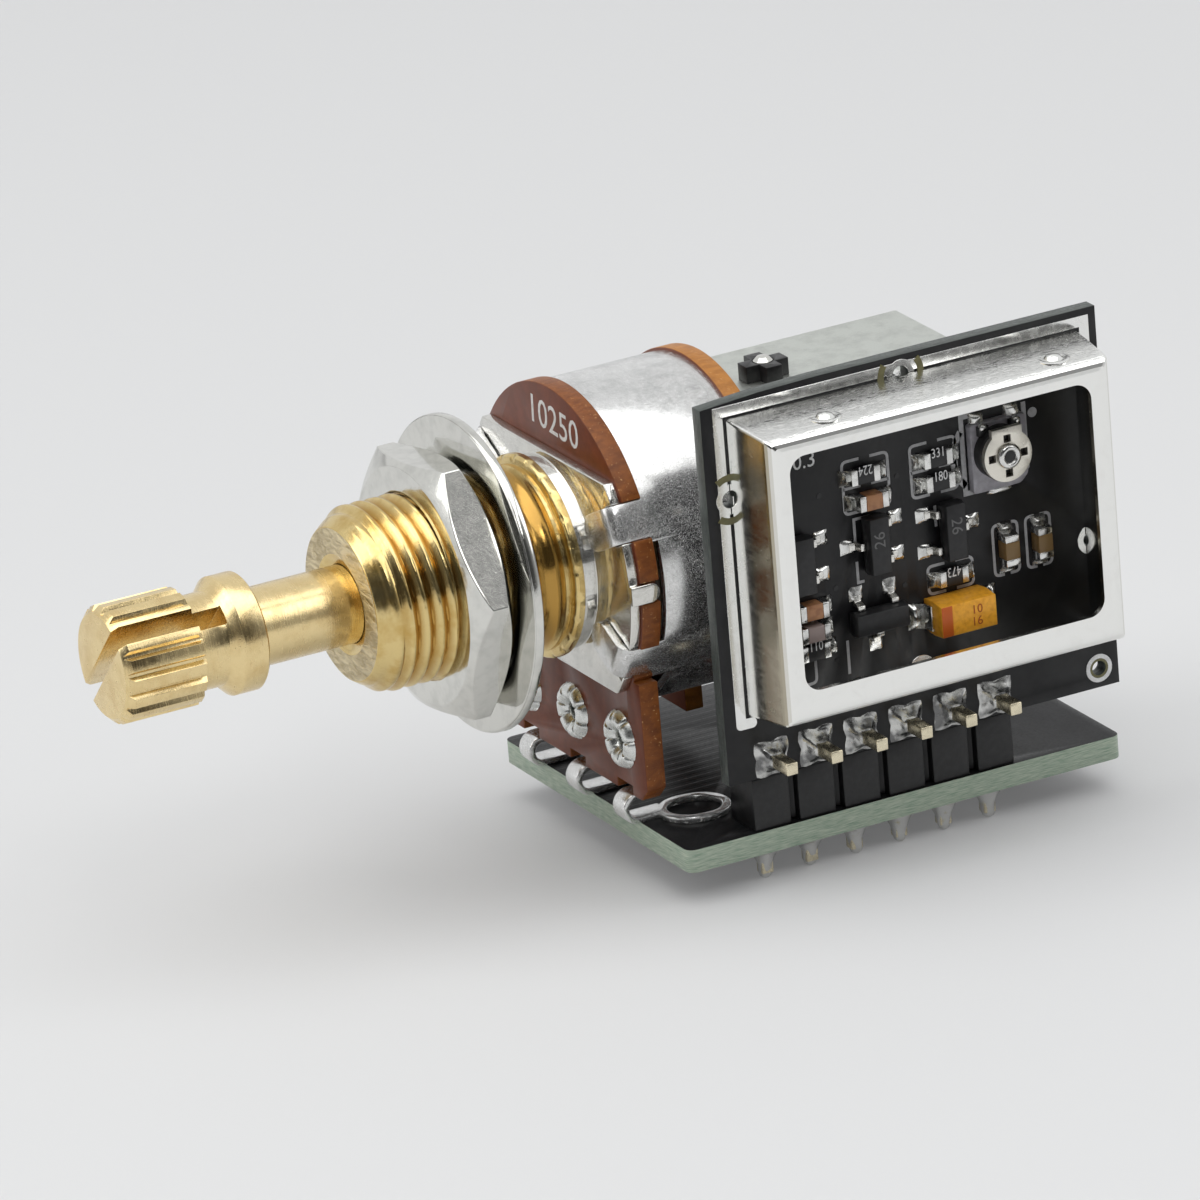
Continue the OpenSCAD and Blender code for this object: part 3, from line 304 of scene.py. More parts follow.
def phenolic_finish(colours):
    """Glossy red-brown wafer with rough orange sheared edges."""
    face = tuple(colours.phenolic)
    made = Finish("phenolic", face, 0.0, 0.22)
    grain = made.noise(1.4, 5, 0.6)
    dark = made.blend(made.ramp(grain, 0.4, 0.7), face, tuple(c * 1.35 for c in face))
    fibre = made.noise(2.6, 4, 0.6, 0.4, (0.5, 1, 1))
    edge = made.blend(made.ramp(fibre, 0.3, 0.75), (0.15, 0.042, 0.009), (0.29, 0.092, 0.017))
    pale = made.blend(made.ramp(fibre, 0.3, 0.75), (0.34, 0.13, 0.025), (0.52, 0.22, 0.045))
    x_rear = low("rear_wafer").x
    edge = made.blend(made.ramp(made.along("X"), x_rear - 0.2, x_rear), edge, pale)
    edge = made.mottle((5.5, 3, 0.7), (0.64, 0.7), edge, (0.60, 0.33, 0.13))
    on_face = made.ramp(made.facing("X"), 0.55, 0.8)
    made.colour(made.blend(on_face, edge, dark))
    made.roughness(made.ramp(on_face, 0, 1, 0.42, 0.3))
    made.bump(made.maths("MULTIPLY", made.noise(5, 5, 0.7), made.ramp(on_face, 0, 1, 1, 0.06)), 0.35, 0.08)
    made.bump(made.noise(0.8, 2), 0.05, 0.1)
    made.gloss(0.3)
    return made.material


def board_finish(name, axis, light, dark):
    """Black lacquer on the faces across axis, and layered glass laminate on the edges."""
    made = Finish(name, (0.010, 0.010, 0.011), 0.0, 0.36)
    layers = made.noise(5, 3, 0.6, 0, (0.25, 3.5 if axis == "Y" else 0.25, 3.5 if axis == "Z" else 0.25))
    edge = made.blend(made.ramp(layers, 0.35, 0.65), dark, light)
    mask = made.mottle((0.7, 3), (0.4, 0.7), (0.008, 0.008, 0.009), (0.016, 0.016, 0.017))
    on_face = made.ramp(made.facing(axis), 0.5, 0.7)
    made.colour(made.blend(on_face, edge, mask))
    made.roughness(made.cloud((8, 3), (0.3, 0.7), (0.3, 0.46)))
    made.bump(made.noise(14, 3), 0.08, 0.01)
    made.gloss(0.35)
    return made


def lower_board_finish():
    """Lower board: wide copper runs show faintly through the lacquer."""
    made = board_finish("lower_board_lacquer", "Z", (0.47, 0.53, 0.43), (0.24, 0.33, 0.25))
    runs = made.add("ShaderNodeTexWave", {"bands_direction": "Y"}, Vector=made.place(), Scale=0.42,
                    Distortion=0.0).outputs["Fac"]
    near = made.ramp(made.along("Y"), -4.0, -3.6)
    made.bump(made.maths("MULTIPLY", made.ramp(runs, 0.45, 0.55), near), 0.5, 0.04)
    return made.material


def plain_finish(name, colour, metallic, roughness, patches=None, sheen=None, grain=(1.0,), strength=0.2, depth=0.02):
    """A finish with one noise each in its colour, its roughness and its bump."""
    made = Finish(name, colour, metallic, roughness)
    if patches:
        made.colour(made.mottle(*patches))
    if sheen:
        made.roughness(made.cloud(*sheen))
    made.bump(made.noise(*grain), strength, depth)
    return made.material


def solder_finish(name, light, dark):
    """Bright solder with soft lumps and darker flow marks."""
    return plain_finish(name, light, 1.0, 0.24, ((1.3, 2, 0.5), (0.42, 0.6), light, dark),
                        ((2.5, 4, 0.6), (0.35, 0.7), (0.1, 0.38)), (1.8, 2, 0.5, 0.8), 0.2, 0.06)


def shield_finish():
    """Bright tinned shield: nearly a mirror with faint drawing marks, scuffed at its corners, and with a painted
    brown reflection on its end walls away from the board.
    """
    made = Finish("shield_silver", (0.93, 0.93, 0.905), 1.0, 0.12)
    marks = made.noise(0.9, 4, 0.65, 1.0, (1, 2.0, 1))
    # The end walls are drawn dull away from the board, and painted brown there as a painted reflection
    outer = made.maths("MULTIPLY", made.ramp(made.facing("X"), 0.6, 0.9),
                       made.ramp(made.along("Y"), Y_BOARD - 0.7, Y_BOARD - 1.7))
    drawn = made.noise(4, 4, 0.6, 0.4, (1, 0.3, 1))
    clean = made.blend(made.ramp(marks, 0.5, 0.85), (0.91, 0.91, 0.885), (0.86, 0.855, 0.83))
    made.colour(made.blend(outer, clean, (0.45, 0.41, 0.32)))
    made.roughness(made.maths("ADD", made.ramp(marks, 0.35, 0.75, 0.09, 0.16),
                              made.maths("MULTIPLY", outer, made.ramp(drawn, 0.3, 0.7, 0.03, 0.16))))
    made.bump(made.noise(0.35, 2), 0.10, 0.1)
    scuffs = made.noise(9, 3, 0.6, 0.3, (0.2, 1.4, 1.4), (0, 12, 0))
    on_top = made.ramp(made.facing("Z"), 0.7, 0.95)
    made.bump(made.maths("MULTIPLY", made.ramp(scuffs, 0.45, 0.62), on_top), 0.22, 0.02)
    return made.material


def moulded(name, colour, roughness, grain=10.0):
    """Moulded or fired body: slight mottling and a fine grain."""
    other = tuple(min(1.0, c * 1.35 + 0.004) for c in colour)
    return plain_finish(name, colour, 0.0, roughness, ((3, 4), (0.4, 0.7), colour, other),
                        ((grain, 3), (0.3, 0.7), (roughness * 0.85, roughness * 1.15)), (grain, 3, 0.6), 0.3, 0.02)


def print_finish(name, colour):
    """Ink, a little uneven."""
    return plain_finish(name, colour, 0.0, 0.45, ((5, 3), (0.35, 0.7), colour, tuple(c * 0.8 for c in colour)), None,
                        (12, 2), 0.15, 0.01)


def tantalum_finish():
    """Orange moulded body with a red-brown band at its marked end."""
    made = Finish("tantalum_orange", (0.95, 0.45, 0.03), 0.0, 0.36)
    x_band = low("tantalum_capacitor").x + 0.62
    body = made.mottle((4, 4), (0.4, 0.7), (0.98, 0.47, 0.035), (0.80, 0.33, 0.018))
    band = made.ramp(made.along("X"), x_band - 0.03, x_band + 0.03, 1, 0)
    on_front = made.ramp(made.facing("Y"), 0.6, 0.8)
    made.colour(made.blend(made.maths("MULTIPLY", band, on_front), body, (0.62, 0.12, 0.012)))
    made.bump(made.noise(8, 3), 0.25, 0.02)
    return made.material


def capacitor_finish():
    """Brown ceramic of the chip capacitors: orange-brown, olive at the right and mauve-grey for the lowest."""
    made = Finish("chip_brown", (0.40, 0.20, 0.09), 0.0, 0.36)
    olive = made.ramp(made.along("X"), SHIELD_MID.x + 2.0, SHIELD_MID.x + 2.2)
    lowest = made.ramp(made.along("Z"), SHIELD_MID.z - 3.7, SHIELD_MID.z - 3.5, 1, 0)
    grain = made.cloud((3, 4), (0.4, 0.7))
    brown = made.blend(grain, (0.42, 0.20, 0.09), (0.30, 0.13, 0.06))
    made.colour(made.blend(lowest, made.blend(olive, brown, (0.22, 0.135, 0.05)), (0.30, 0.235, 0.22)))
    made.bump(made.noise(9, 3, 0.6), 0.25, 0.015)
    return made.material


def make_finishes(colours):
    """Every material, by the name of its use."""
    made = {
        "pale_brass": turned_brass("pale_brass", tuple(colours.shaft_brass), (0.72, 0.53, 0.25), 0.21, 14).material,
        "gold_brass": bush_finish(colours),
        "torn_brass": torn_finish(),
        "frame_steel": frame_steel_finish(),
        "shield_silver": shield_finish(),
        "solder": solder_finish("solder", (0.78, 0.78, 0.76), (0.60, 0.60, 0.585)),
        "pad_solder": solder_finish("pad_solder", (0.60, 0.60, 0.585), (0.17, 0.17, 0.17)),
        "phenolic": phenolic_finish(colours),
        "lower_board": lower_board_finish(),
        "upright_board": board_finish("upright_board_lacquer", "Y", (0.10, 0.115, 0.105),
                                      (0.035, 0.04, 0.038)).material,
        "chip_brown": capacitor_finish(),
        "tantalum_orange": tantalum_finish(),
        # Greyer, smoother solder of the cones under the board, with a yellow tinge of flux
        "dull_solder": plain_finish("dull_solder", (0.66, 0.66, 0.645), 1.0, 0.26,
                                    ((1.6, 3, 0.6), (0.6, 0.76), (0.66, 0.66, 0.645), (0.55, 0.50, 0.34)), None,
                                    (2.2, 2), 0.3, 0.08),
        # Tinned eyelets: soft grey metal with small dents
        "dull_rivet": plain_finish("dull_rivet", (0.72, 0.73, 0.71), 1.0, 0.26, None,
                                   ((3, 4, 0.6), (0.35, 0.7), (0.18, 0.42)), (2.0, 2, 0.5, 0.5), 0.25, 0.04),
        # Tinned copper track: bright, levelled and faintly rippled
        "tinned_track": plain_finish("tinned_track", (0.86, 0.86, 0.84), 1.0, 0.2, None,
                                     ((2.0, 4, 0.6), (0.35, 0.7), (0.14, 0.32)), (1.1, 3, 0.5, 0.6), 0.25, 0.03),
    }
    for name, *look in (("nickel", tuple(colours.nickel), 0.09), ("tinplate", tuple(colours.tin), 0.21, 1.0),
                        ("bright_tin", (0.74, 0.73, 0.69), 0.08, 0.3), ("spring_metal", (0.72, 0.55, 0.28), 0.25),
                        ("gilt_pin", (0.82, 0.74, 0.55), 0.25), ("trimmer_disc", (0.80, 0.77, 0.69), 0.34),
                        ("tinned_lead", (0.80, 0.79, 0.75), 0.25)):
        made[name] = plated(name, *look).material
    for name, *look in (("carbon", (0.03, 0.03, 0.03), 0.6), ("rotor_plastic", (0.66, 0.62, 0.50), 0.5),
                        ("black_plastic", (0.007, 0.007, 0.0075), 0.36, 8),
                        ("chip_black", (0.010, 0.010, 0.011), 0.4, 12), ("lilac_plate", (0.33, 0.32, 0.35), 0.4),
                        ("trimmer_ceramic", (0.018, 0.018, 0.019), 0.4),
                        ("bare_laminate", (0.13, 0.12, 0.05), 0.35)):
        made[name] = moulded(name, *look)
    for name, ink in (("band_print", (0.50, 0.10, 0.012)), ("white_print", (0.84, 0.84, 0.84)),
                      ("grey_print", (0.46, 0.46, 0.47)), ("dim_print", (0.14, 0.14, 0.14))):
        made[name] = print_finish(name, ink)
    return made


FINISHES = {}
OWN_FINISH = {"front_plate": "bright_tin", "lower_board": "lower_board", "vertical_board": "upright_board",
              "shield_track": "tinned_track", "trimmer_rotor": "trimmer_disc", "transistor_leads": "tinned_lead"}


def finish_for(node):
    """The material of a CAD node."""
    return FINISHES[OWN_FINISH.get(node, NODE_SLOT[node])]


def settle(piece, body, slot, *nodes):
    """Rides a finished piece on its body and hides the nodes that it stands for; slot is not used."""
    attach(piece, body)
    if nodes:
        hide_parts(*nodes)
    return piece


def new_object(name, mesh, *materials):
    """An object at the origin with its materials."""
    piece = bpy.data.objects.new(name, mesh)
    bpy.context.scene.collection.objects.link(piece)
    for material in materials:
        mesh.materials.append(material)
    return piece


def from_bmesh(name, shape, *finishes, sharp=35):
    """Turns a bmesh in millimetres into an object with its finishes, smooth up to the sharp angle."""
    bmesh.ops.recalc_face_normals(shape, faces=shape.faces)
    bmesh.ops.scale(shape, vec=(MM, MM, MM), verts=shape.verts)
    mesh = bpy.data.meshes.new(name)
    shape.to_mesh(mesh)
    shape.free()
    smooth(mesh, sharp)
    return new_object(name, mesh, *(FINISHES[finish] for finish in finishes))


def smooth(mesh, sharp):
    """Shades smooth, with edges over the sharp angle kept crisp."""
    mesh.polygons.foreach_set("use_smooth", [True] * len(mesh.polygons))
    mesh.set_sharp_from_angle(angle=math.radians(sharp))


def apply_modifiers(piece):
    """Bakes a piece's modifiers into its mesh."""
    depsgraph = bpy.context.evaluated_depsgraph_get()
    mesh = bpy.data.meshes.new_from_object(piece.evaluated_get(depsgraph))
    piece.modifiers.clear()
    piece.data = mesh


def round_edges(shape, axis, radius, wanted):
    """Rounds the edges along an axis whose two ends are wanted, by radius millimetres."""
    picked = [edge for edge in shape.edges
              if all(wanted(*(v.co / MM)) for v in edge.verts)
              and abs((edge.verts[0].co - edge.verts[1].co)[axis]) > 0.9 * edge.calc_length()]
    bmesh.ops.bevel(shape, geom=picked, offset=radius * MM, segments=6, profile=0.5, affect="EDGES")


def board_corners(shape):
    """Rounds the four upright corners of the lower board."""
    ends = [(low("lower_board")[axis], high("lower_board")[axis]) for axis in (0, 1)]
    round_edges(shape, 2, 0.5, lambda *at: all(min(abs(at[axis] - end) for end in ends[axis]) < 0.01
                                               for axis in (0, 1)))


def track_corners(shape):
    """Rounds the hook at the lower end of the track."""
    foot = low("shield_frame")
    round_edges(shape, 1, 0.26, lambda x, y, z: z < foot.z and (
        x < foot.x - 0.25 and z < foot.z - 0.25 or abs(x - foot.x - 0.5) < 0.05))


def dress_copy(node, width, segments=2, sharp=35, limit=40, rounding=None):
    """Stands a copy of a CAD node in its place, with its edges rounded by width millimetres."""
    shape = bmesh.new()
    shape.from_mesh(frame["nodes"][node].data)
    bmesh.ops.remove_doubles(shape, verts=shape.verts, dist=1e-7)
    bmesh.ops.dissolve_limit(shape, angle_limit=math.radians(0.6), verts=shape.verts, edges=shape.edges)
    if rounding:
        rounding(shape)
    mesh = bpy.data.meshes.new(node + "_dressed")
    shape.to_mesh(mesh)
    shape.free()
    piece = new_object(node + "_dressed", mesh, finish_for(node))
    bevel = piece.modifiers.new("edges", "BEVEL")
    bevel.width = width * MM
    bevel.segments = segments
    bevel.limit_method = "ANGLE"
    bevel.angle_limit = math.radians(limit)
    apply_modifiers(piece)
    smooth(piece.data, sharp)
    return settle(piece, NODE_BODY[node], NODE_SLOT[node], node)


def grid_faces(shape, rows, closed_rows=False):
    """Joins rows of vertices, each a closed ring, with quads."""
    pairs = list(zip(rows, rows[1:]))
    if closed_rows:
        pairs.append((rows[-1], rows[0]))
    for first, second in pairs:
        count = len(first)
        for i in range(count):
            j = (i + 1) % count
            shape.faces.new((first[i], first[j], second[j], second[i]))


def turns(count):
    """Angles that go once round in count steps."""
    return [2 * math.pi * i / count for i in range(count)]


def circle(angle, radius=1.0):
    """The place at an angle on a circle."""
    return radius * math.cos(angle), radius * math.sin(angle)


def ring_about_x(shape, x, radius, count):
    """A ring of vertices about the shaft's axis. radius may be a function of the angle."""
    return [shape.verts.new((x, *circle(angle, radius(angle) if callable(radius) else radius)))
            for angle in turns(count)]


def saw(value):
    """Distance from the middle of a tooth, from 0 at its middle to 1 half a tooth away."""
    return abs((value % 1.0) - 0.5) * 2


class POTENTIOMETER_OT_finishes(bpy.types.Operator):
    """Makes every finish and gives it to the CAD nodes"""

    bl_idname = "potentiometer.finishes"
    bl_label = "Finishes"

    def execute(self, context):
        FINISHES.update(make_finishes(context.scene.potentiometer_colours))
        for node, piece in frame["nodes"].items():
            material = finish_for(node)
            for slot in piece.material_slots:
                slot.material = material
            if not piece.material_slots:
                piece.data.materials.append(material)
        return {"FINISHED"}


class POTENTIOMETER_OT_dressed_nodes(bpy.types.Operator):
    """Rounds the edges of the pieces whose solids already have their true form"""

    bl_idname = "potentiometer.dressed_nodes"
    bl_label = "Rounded pieces"

    def execute(self, context):
        edge = context.scene.potentiometer_sizes.edge_round
        dress_copy("hex_nut", edge, 2, 14, 14)
        for node in ("front_plate", "front_wafer", "can", "rear_wafer", "left_lug", "middle_lug",
                     "right_lug", "latch_boss", "header_block", "header_pins"):
            dress_copy(node, edge)
        dress_copy("vertical_board", edge / 2)
        dress_copy("lower_board", edge / 2, rounding=board_corners)
        dress_copy("shield_track", 0.01, 1, rounding=track_corners)
        dress_copy("switch_frame", 4 * edge, 4)
        for node in ("chip_resistors", "resistor_solder", "chip_capacitors", "capacitor_solder",
                     "tantalum_capacitor", "tantalum_ends", "transistors", "transistor_leads",
                     "trimmer_rotor"):
            dress_copy(node, edge * 0.7)
        return {"FINISHED"}


class POTENTIOMETER_OT_shaft(bpy.types.Operator):
    """Rounds the edges of a copy of the shaft, with its knurl, waist, collar, neck and slot"""

    bl_idname = "potentiometer.shaft"
    bl_label = "Shaft"

    def execute(self, context):
        dress_copy("shaft", 0.06, 3, 24, 24)
        return {"FINISHED"}


class POTENTIOMETER_OT_bush(bpy.types.Operator):
    """Models the bush with its thread, relief and notched shoulder"""

    bl_idname = "potentiometer.bush"
    bl_label = "Bush"

    def execute(self, context):
        sizes = context.scene.potentiometer_sizes
        outer = high("bush").z
        count = 192

        def thread(x):
            """Radius of the thread at x as a function of the angle."""
            lead = min(1, max(0, (x - X_FACE - 0.35) / 1.1))
            run_out = min(1, max(0, (X_THREAD_END - x) / 0.4))
            crest = 3.9 + 0.85 * min(1, (x - X_FACE) / 1.18)

            def radius(angle):
                tooth = saw((x - angle / (2 * math.pi) * sizes.thread_pitch) / sizes.thread_pitch)
                groove = max(0.0, (tooth - 0.16) / 0.84)
                chip = 0.05 * max(0.0, 1 - tooth * 4) * max(0.0, noise.noise((x * 2, *circle(angle, 9))))
                return crest - (sizes.thread_depth * groove + chip) * lead * run_out
            return radius

        def notched(angle):
            """Rim of the shoulder ring with its notches."""
            tooth = saw(angle / (2 * math.pi) * NOTCHES)
            return outer - 0.12 * max(0.0, 1 - tooth * 5)

        shape = bmesh.new()
        rims = [(X_FACE + 0.24, R_BORE), (X_FACE + 0.12, 2.3)]
        rims += [(X_FACE, radius) for radius in (2.56, 3.0, 3.45, 3.86)]
        steps = int((X_THREAD_END - X_FACE) / sizes.thread_pitch * 18)
        for i in range(1, steps + 1):
            x = X_FACE + (X_THREAD_END - X_FACE) * i / steps
            rims.append((x, thread(x)))
        for i in range(1, 16):
            turn = math.pi * i / 16
            rims.append((X_RELIEF_END - RELIEF_LENGTH * (1 + math.cos(turn)) / 2,
                         R_CREST - RELIEF_DEPTH * math.sin(turn)))
        rims += [(-0.3, R_CREST), (-0.02, R_CREST), (0.0, 4.8), (0.0, lambda a: notched(a) - 0.16),
                 (0.05, lambda a: notched(a) - 0.08), (0.16, notched), (0.24, outer), (0.5, outer),
                 (0.55, outer - 0.06), (0.55, R_TAIL), (X_BUSH_END, R_TAIL), (X_BUSH_END, R_BORE)]
        rows = [ring_about_x(shape, x, radius, count) for x, radius in rims]
        grid_faces(shape, rows, True)
        for face in shape.faces:
            if face.calc_center_median().x < X_FACE + 0.001:
                face.material_index = 1
        piece = from_bmesh("bush_threaded", shape, "gold_brass", "torn_brass", sharp=50)
        settle(piece, HOUSING, "gold_brass", "bush")
        return {"FINISHED"}


class Face:
    """A flat face to lay things on, which faces -Y unless told otherwise: origin, right and up in millimetres."""

    def __init__(self, origin, right=(1, 0, 0), up=(0, 0, 1)):
        self.origin, self.right, self.up = Vector(origin), Vector(right), Vector(up)
        self.out = self.right.cross(self.up)

    def point(self, u, v, h):
        """The point u along, v up and h out of the face."""
        return self.origin + self.right * u + self.up * v + self.out * h


BOARD_FACE = Face((0, Y_BOARD, 0))


def ribbon(shape, face, points, width, height):
    """Raised line of a width through points of a face, mitred at its corners."""
    rails = []
    for i, point in enumerate(points):
        here = Vector(point)
        before = Vector(points[i - 1]) if i else here - (Vector(points[1]) - here)
        after = Vector(points[i + 1]) if i < len(points) - 1 else here + (here - before)
        first, second = (here - before).normalized(), (after - here).normalized()
        side = Vector((-first.y - second.y, first.x + second.x)).normalized()
        reach = width / 2 / max(0.4, side.dot(Vector((-first.y, first.x))))
        rails.append([here + side * reach, here - side * reach])
    rings = [[shape.verts.new(face.point(*rail[k], h)) for k, h in ((0, 0), (0, height), (1, height), (1, 0))]
             for rail in rails]
    for one, two in zip(rings, rings[1:]):
        for k in range(4):
            shape.faces.new((one[k], two[k], two[(k + 1) % 4], one[(k + 1) % 4]))
    shape.faces.new(rings[0])
    shape.faces.new(reversed(rings[-1]))


def round_corners(points, radius, steps=4):
    """Rounds the corners of a closed outline."""
    rounded = []
    for i, point in enumerate(points):
        here = Vector(point)
        before = (Vector(points[i - 1]) - here).normalized()
        after = (Vector(points[(i + 1) % len(points)]) - here).normalized()
        for k in range(steps + 1):
            t = k / steps
            rounded.append(here + before * radius * (1 - t) ** 2 + after * radius * t ** 2)
    return rounded


def sector(shape, face, centre, inner, outer, height, start=0, end=360):
    """Raised ring, or part of one, on a face."""
    whole = end - start >= 360
    steps = max(3, round((end - start) / 12))
    rings = []
    for i in range(steps if whole else steps + 1):
        angle = math.radians(start + (end - start) * i / steps)
        rings.append([shape.verts.new(face.point(centre[0] + r * math.cos(angle), centre[1] + r * math.sin(angle), h))
                      for r, h in ((inner, 0), (inner, height), (outer, height), (outer, 0))])
    for one, two in list(zip(rings, rings[1:])) + ([(rings[-1], rings[0])] if whole else []):
        for k in range(4):
            shape.faces.new((one[k], one[(k + 1) % 4], two[(k + 1) % 4], two[k]))
    if not whole:
        shape.faces.new(reversed(rings[0]))
        shape.faces.new(rings[-1])


def figures(shape, face, text, centre, size, height, turn=0, thin=1.0):
    """Raised figures on a face, in the built-in letter, size high and turned about their middle."""
    curve = bpy.data.curves.new("figures", "FONT")
    curve.body = text
    curve.size = size / 0.7
    curve.align_x = "CENTER"
    curve.align_y = "CENTER"
    curve.extrude = height / 2
    curve.resolution_u = 3
    holder = bpy.data.objects.new("figures", curve)
    mesh = holder.to_mesh()
    spin = Matrix.Rotation(math.radians(turn), 2)
    places = []
    for vertex in mesh.vertices:
        u, v = spin @ Vector((vertex.co.x * thin, vertex.co.y))
        places.append(shape.verts.new(face.point(centre[0] + u, centre[1] + v, vertex.co.z + height / 2)))
    for polygon in mesh.polygons:
        try:
            shape.faces.new([places[i] for i in polygon.vertices])
        except ValueError:
            continue
    holder.to_mesh_clear()
    bpy.data.objects.remove(holder)
    bpy.data.curves.remove(curve)


def finish_shape(name, shape, slot, finish):
    """Closes a bmesh in millimetres into a piece that rides the housing."""
    bmesh.ops.remove_doubles(shape, verts=shape.verts, dist=1e-4)
    return settle(from_bmesh(name, shape, finish), HOUSING, slot)


def repeat_tree():
    """Geometry Nodes tree that sets a source piece on every point, each turned and sized a little by chance."""
    tree = bpy.data.node_groups.get("repeat_on_points")
    if tree:
        return tree
    tree = bpy.data.node_groups.new("repeat_on_points", "GeometryNodeTree")
    face = tree.interface
    face.new_socket(name="Geometry", in_out="OUTPUT", socket_type="NodeSocketGeometry")
    for name, kind in (("Geometry", "Geometry"), ("Source", "Object"), ("Turn", "Vector"), ("Spread", "Float"),
                       ("Seed", "Int"), ("Finish", "Material")):
        face.new_socket(name=name, in_out="INPUT", socket_type="NodeSocket" + kind)
    nodes, links = tree.nodes, tree.links
    given = nodes.new("NodeGroupInput").outputs
    source = nodes.new("GeometryNodeObjectInfo")
    points = nodes.new("GeometryNodeMeshToPoints")
    back = nodes.new("ShaderNodeVectorMath")
    back.operation = "SCALE"
    back.inputs["Scale"].default_value = -1
    turn, size = (nodes.new("FunctionNodeRandomValue") for _ in range(2))
    turn.data_type = size.data_type = "FLOAT_VECTOR"
    least, most = (nodes.new("ShaderNodeMath") for _ in range(2))
    for limit, operation in ((least, "SUBTRACT"), (most, "ADD")):
        limit.operation = operation
        limit.inputs[0].default_value = 1
    on_points = nodes.new("GeometryNodeInstanceOnPoints")
    real = nodes.new("GeometryNodeRealizeInstances")
    finish = nodes.new("GeometryNodeSetMaterial")
    result = nodes.new("NodeGroupOutput").inputs
    for start, end in ((given["Geometry"], points.inputs[0]), (given["Source"], source.inputs["Object"]),
                       (given["Turn"], back.inputs[0]), (back.outputs[0], turn.inputs[0]),
                       (given["Turn"], turn.inputs[1]), (given["Seed"], turn.inputs["Seed"]),
                       (given["Spread"], least.inputs[1]), (given["Spread"], most.inputs[1]),
                       (least.outputs[0], size.inputs[0]), (most.outputs[0], size.inputs[1]),
                       (given["Seed"], size.inputs["Seed"]), (points.outputs[0], on_points.inputs["Points"]),
                       (source.outputs["Geometry"], on_points.inputs["Instance"]),
                       (turn.outputs[0], on_points.inputs["Rotation"]), (size.outputs[0], on_points.inputs["Scale"]),
                       (on_points.outputs[0], real.inputs[0]), (real.outputs[0], finish.inputs["Geometry"]),
                       (given["Finish"], finish.inputs["Material"]), (finish.outputs[0], result["Geometry"])):
        links.new(start, end)
    return tree


def repeat(name, source, places, slot, finish, turn=(0, 0, 0), spread=0.0, seed=1, stands_for=(), sharp=45):
    """Repeats a source bmesh, in millimetres about the origin, at places in millimetres."""
    source_piece = from_bmesh("source", source, sharp=sharp)
    mesh = bpy.data.meshes.new(name)
    mesh.from_pydata([Vector(place) * MM for place in places], [], [])
    piece = new_object(name, mesh)
    made = piece.modifiers.new("repeat", "NODES")
    made.node_group = repeat_tree()
    keys = {item.name: item.identifier for item in made.node_group.interface.items_tree if item.in_out == "INPUT"}
    for key, value in (("Source", source_piece), ("Turn", [math.radians(t) for t in turn]), ("Spread", spread),
                       ("Seed", seed), ("Finish", FINISHES[finish])):
        made[keys[key]] = value
    piece.update_tag()
    bpy.context.view_layer.update()
    apply_modifiers(piece)
    bpy.data.objects.remove(source_piece)
    smooth(piece.data, sharp)
    return settle(piece, HOUSING, slot, *stands_for)


def lathe(shape, profile, count, axis, wave=None):
    """Turns a closed profile of (along, radius) about an axis through the origin."""
    rows = []
    for along, radius in profile:
        row = []
        for angle in turns(count):
            a, r = wave(angle, along, radius) if wave else (along, radius)
            c, d = circle(angle, r)
            row.append(shape.verts.new({"X": (a, c, d), "Y": (c, a, d), "Z": (c, d, a)}[axis]))
        rows.append(row)
    grid_faces(shape, rows, True)


def islands(node):
    """The lowest and highest corners, in millimetres, of each separate solid of a CAD node."""
    shape = bmesh.new()
    shape.from_mesh(frame["nodes"][node].data)
    bmesh.ops.remove_doubles(shape, verts=shape.verts, dist=1e-7)
    left, boxes = set(shape.verts), []
    while left:
        reached, edge = set(), [min(left, key=lambda v: tuple(v.co))]
        while edge:
            vertex = edge.pop()
            if vertex in reached:
                continue
            reached.add(vertex)
            edge.extend(e.other_vert(vertex) for e in vertex.link_edges)
        left -= reached
        boxes.append([Vector([pick(v.co[i] for v in reached) for i in range(3)]) / MM for pick in (min, max)])
    shape.free()
    return sorted(boxes, key=lambda box: tuple(box[0]))


def lumpy(point, scale, seed):
    """Smooth noise about a point, from -1 to 1."""
    return noise.noise(Vector(point) * scale + Vector((seed * 7.3, seed * 3.1, seed)))


def mound(shape, face, centre, half_u, half_v, rise, seed, steps=8, lean=(0.0, 0.0)):
    """Lumpy pillow of solder on a face, higher towards lean."""
    rows = []
    for j in range(steps + 1):
        row = []
        for i in range(steps + 1):
            a, b = 2 * i / steps - 1, 2 * j / steps - 1
            dome = max(0.0, (1 - a ** 4) * (1 - b ** 4)) ** 0.6
            slope = 1 + lean[0] * a + lean[1] * b
            lump = 1 + 0.22 * lumpy((a, b, 0), 1.4, seed)
            edge = 1 + 0.08 * lumpy((a, b, 3), 2.0, seed)
            row.append(shape.verts.new(face.point(centre[0] + half_u * a * edge, centre[1] + half_v * b * edge,
                                                  rise * dome * max(0.1, slope) * lump + 0.004)))
        rows.append(row)
    for one, two in zip(rows, rows[1:]):
        for i in range(steps):
            shape.faces.new((one[i], one[i + 1], two[i + 1], two[i]))
    rim = rows[0] + [row[-1] for row in rows[1:-1]] + rows[-1][::-1] + [row[0] for row in rows[-2:0:-1]]
    shape.faces.new(rim)


